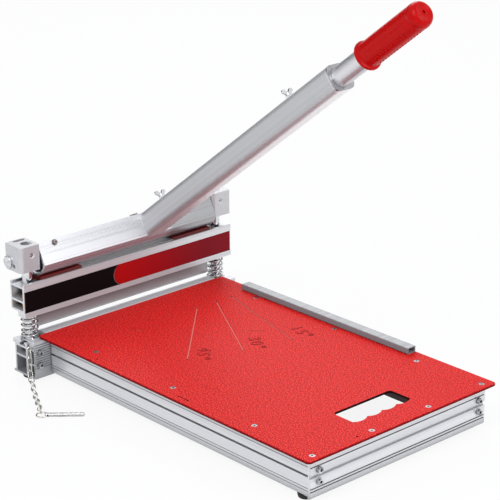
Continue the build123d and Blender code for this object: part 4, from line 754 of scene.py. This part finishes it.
# %% Grip: outline and turning
handle_start = Vector((-295.5, 43.7, 115.0)) * mm
handle_way = Vector((math.cos(handle_angle), 0.0, math.sin(handle_angle)))
handle_top = Vector((-math.sin(handle_angle), 0.0, math.cos(handle_angle)))
full_turn = math.radians(360.0)
grip_start = 569.0 * mm
grip_steps = 96
weld_gap = 0.01 * mm
grip_outline = [(15.1, 0.0), (20.2, 0.0), (21.1, 0.5), (21.5, 1.6), (21.5, 3.6), (21.1, 4.7),
                (20.0, 5.4), (18.9, 6.0), (18.5, 7.2), (18.5, 9.0), (18.7, 14.0),
                (18.8, 40.0), (18.8, 80.0), (18.7, 104.0),
                (18.5, 106.6), (18.0, 107.2), (18.0, 108.2), (18.7, 108.9), (19.0, 110.5), (18.9, 113.5),
                (18.2, 117.0), (16.8, 120.2), (14.8, 122.6), (12.6, 123.7), (11.2, 123.6), (10.0, 122.9),
                (4.6, 122.7), (3.8, 123.6), (3.0, 123.9), (2.2, 123.5), (1.6, 122.4),
                (1.5, 107.0), (15.1, 107.0)]


def pick(piece):
    """Select one piece alone and make it active."""
    bpy.ops.object.select_all(action="DESELECT")
    piece.select_set(True)
    bpy.context.view_layer.objects.active = piece


def weld(gap):
    """Join the points of the whole mesh that meet, and turn its faces outward."""
    bpy.ops.mesh.select_all(action="SELECT")
    bpy.ops.mesh.remove_doubles(threshold=gap)
    bpy.ops.mesh.normals_make_consistent(inside=False)


def join_outline(name, points):
    """A closed outline of edges in the X and Z plane, as a new mesh in edit mode."""
    bpy.ops.mesh.primitive_plane_add(size=1.0)
    outline = bpy.context.object
    outline.name = name
    bpy.ops.object.mode_set(mode="EDIT")
    bpy.ops.mesh.select_all(action="SELECT")
    bpy.ops.mesh.merge(type="CENTER")
    bpy.ops.transform.translate(value=(points[0][0] * mm, 0.0, points[0][1] * mm))
    for before, after in zip(points, points[1:]):
        step = ((after[0] - before[0]) * mm, 0.0, (after[1] - before[1]) * mm)
        bpy.ops.mesh.extrude_region_move(TRANSFORM_OT_translate={"value": step})
    bpy.ops.mesh.select_all(action="SELECT")
    return outline


def spin_round(steps, copies=False):
    """Turn the selection once about the upright line through the origin."""
    bpy.ops.mesh.spin(steps=steps, angle=full_turn, dupli=copies, center=(0.0, 0.0, 0.0),
                      axis=(0.0, 0.0, 1.0))
    weld(weld_gap)
    bpy.ops.object.mode_set(mode="OBJECT")


grip = join_outline("grip_sleeve", grip_outline + grip_outline[:1])
spin_round(grip_steps)
print("grip turned", len(grip.data.polygons), "faces")

# %% [markdown]
# Eight flutes run along the body. Each is one strip of faces pressed half a
# millimetre in, so the strips are picked by their height and their angle.

# %% Grip: flutes
flute_count = 8
flute_foot, flute_head = 14.5 * mm, 103.5 * mm
flute_least_radius = 18.0 * mm
flute_angles = 18.9, 26.0
flute_border = 0.35 * mm
flute_depth = 0.5 * mm
pick(grip)
for face in grip.data.polygons:
    middle = face.center
    angle = math.degrees(math.atan2(middle.y, middle.x)) % (360.0 / flute_count)
    outside = math.hypot(middle.x, middle.y) > flute_least_radius
    high = flute_foot < middle.z < flute_head
    face.select = high and outside and flute_angles[0] < angle < flute_angles[1]
bpy.ops.object.mode_set(mode="EDIT")
bpy.ops.mesh.select_mode(type="FACE")
bpy.ops.mesh.inset(thickness=flute_border, depth=-flute_depth)
bpy.ops.mesh.select_all(action="DESELECT")
bpy.ops.object.mode_set(mode="OBJECT")
print("grip with flutes", len(grip.data.polygons), "faces")

# %% [markdown]
# The nubs stand in rows between the flutes. One nub is shaped, repeated along its
# row by an Array, and the row is copied round the grip by a spin that duplicates.

# %% Grip: nubs
nub_radius = 1.3 * mm
nub_place = (17.95 * mm, 0.0, 18.0 * mm)
nub_pitch = 6.0 * mm
nub_count = 15
bpy.ops.mesh.primitive_uv_sphere_add(segments=14, ring_count=8, radius=nub_radius, location=nub_place)
nub = bpy.context.object
nub.name = "grip_nubs"
bpy.ops.object.transform_apply(location=True, rotation=True, scale=True)
row = nub.modifiers.new("row", "ARRAY")
row.use_relative_offset = False
row.use_constant_offset = True
row.constant_offset_displace = (0.0, 0.0, nub_pitch)
row.count = nub_count
bpy.ops.object.modifier_apply(modifier="row")
bpy.ops.object.mode_set(mode="EDIT")
bpy.ops.mesh.select_all(action="SELECT")
spin_round(flute_count, copies=True)
print("nubs", len(nub.data.polygons), "faces")

# %% [markdown]
# Both pieces are laid along the handle, with their place applied so that their own
# origin stays at the frame's. They ride on the inner tube's body, and the sleeve
# takes the place of the plain grip of the frame.

# %% Grip: place and finish


def lay_along_handle(piece, distance):
    """Lay a piece made on the origin along the handle, and apply its place."""
    across = handle_top.cross(handle_way)
    turn = Matrix((handle_top, across, handle_way)).transposed().to_4x4()
    piece.matrix_world = Matrix.Translation(handle_start + handle_way * distance) @ turn
    pick(piece)
    bpy.ops.object.transform_apply(location=True, rotation=True, scale=True)


def smooth_by_angle(piece, degrees=35.0):
    """Shade a piece smooth, with its sharp edges kept."""
    pick(piece)
    bpy.ops.object.shade_smooth_by_angle(angle=math.radians(degrees))


for piece in (grip, nub):
    lay_along_handle(piece, grip_start)
    smooth_by_angle(piece)
    give_finish(piece, grip_plastic)
    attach(piece, "inner_handle")
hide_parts("hand_grip")
print("grip laid", [round(v, 3) for v in grip.dimensions])

# %% [markdown]
# The table carries three engraved angles, 45, 30 and 15 degrees, each beside its
# groove. They are drawn as the outline of the figures, because that is how the
# engraver's tool leaves them: a thin line round each figure. A text curve with a
# bevel and no fill gives that line, and it is made mesh before it is put in place.

# %% Engraved numbers
number_size = 27.0 * mm
number_spacing = 1.2
number_line = 0.46 * mm
number_sink = 0.15 * mm


def table_number(name, words, place, angle):
    """A number of the table as a thin engraved outline."""
    bpy.ops.object.text_add(location=(0.0, 0.0, 0.0))
    number = bpy.context.object
    number.name = name
    number.data.body = words
    number.data.size = number_size
    number.data.align_x = "CENTER"
    number.data.align_y = "CENTER"
    number.data.fill_mode = "NONE"
    number.data.space_character = number_spacing
    number.data.bevel_depth = number_line
    number.data.bevel_resolution = 1
    number.data.resolution_u = 4
    bpy.ops.object.convert(target="MESH")
    number = bpy.context.object
    place = Matrix.Translation((place[0] * mm, place[1] * mm, -number_sink))
    number.matrix_world = place @ Matrix.Rotation(math.radians(-angle), 4, "Z")
    bpy.ops.object.transform_apply(location=True, rotation=True, scale=True)
    give_finish(number, number_ink)
    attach(number, "base")
    print(name, [round(v / mm, 1) for v in number.dimensions])


table_number("number_45", "45°", (-67.3, -48.9), 45.0)
table_number("number_30", "30°", (-45.4, 33.7), 30.0)
table_number("number_15", "15°", (-30.9, 110.1), 15.0)

# %% [markdown]
# A return spring stands round each post. It is pressed shorter when the beam comes
# down, so it belongs to neither side: its lower end rests on the base and its upper
# end follows the beam. It is wound from a small circle by the Screw modifier in
# three lengths, a closed turn at each end and three open turns between them, which
# are joined into one coil.

# %% Return springs
wire_radius = 1.5 * mm
coil_radius = 11.75 * mm
coil_foot = -4.7 * mm
end_rise = 3.6 * mm
open_rise = 8.4 * mm
open_turns = 3
coil_lengths = [(coil_foot, end_rise, 1), (coil_foot + end_rise, open_rise, open_turns),
                (coil_foot + end_rise + open_turns * open_rise, end_rise, 1)]
wire_sides = 14
turn_steps = 40
coil_weld_gap = 0.05 * mm
coil_sharp_angle = 50.0
post_line = -302.4 * mm
post_reach = 181.0 * mm


def coil_length(foot, rise, turns, side):
    """Some turns of a spring at one pitch, from a circle of wire."""
    centre = (coil_radius, 0.0, foot)
    bpy.ops.mesh.primitive_circle_add(vertices=wire_sides, radius=wire_radius, location=centre,
                                      rotation=(math.radians(90.0), 0.0, 0.0))
    length = bpy.context.object
    bpy.ops.object.transform_apply(location=True, rotation=True, scale=True)
    winding = length.modifiers.new("winding", "SCREW")
    winding.angle = full_turn
    winding.screw_offset = rise
    winding.iterations = turns
    winding.steps = turn_steps
    winding.render_steps = turn_steps
    bpy.ops.object.modifier_apply(modifier="winding")
    length.location = (post_line, side * post_reach, 0.0)
    bpy.ops.object.transform_apply(location=True, rotation=True, scale=True)
    return length


def return_spring(name, side):
    """A spring round one post, joined from its three lengths."""
    lengths = [coil_length(foot, rise, turns, side) for foot, rise, turns in coil_lengths]
    bpy.ops.object.select_all(action="DESELECT")
    for length in lengths:
        length.select_set(True)
    bpy.context.view_layer.objects.active = lengths[0]
    bpy.ops.object.join()
    coil = bpy.context.object
    coil.name = name + "_coil"
    bpy.ops.object.mode_set(mode="EDIT")
    bpy.ops.mesh.select_all(action="SELECT")
    bpy.ops.mesh.remove_doubles(threshold=coil_weld_gap)
    bpy.ops.mesh.select_all(action="SELECT")
    bpy.ops.mesh.fill_holes(sides=wire_sides)
    bpy.ops.mesh.select_all(action="SELECT")
    bpy.ops.mesh.normals_make_consistent(inside=False)
    bpy.ops.object.mode_set(mode="OBJECT")
    smooth_by_angle(coil, coil_sharp_angle)
    give_finish(coil, spring_steel)
    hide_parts(name)
    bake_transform(coil)
    print(coil.name, len(coil.data.polygons), "faces", [round(v / mm, 1) for v in coil.dimensions])


return_spring("spring_near", -1)
return_spring("spring_far", 1)
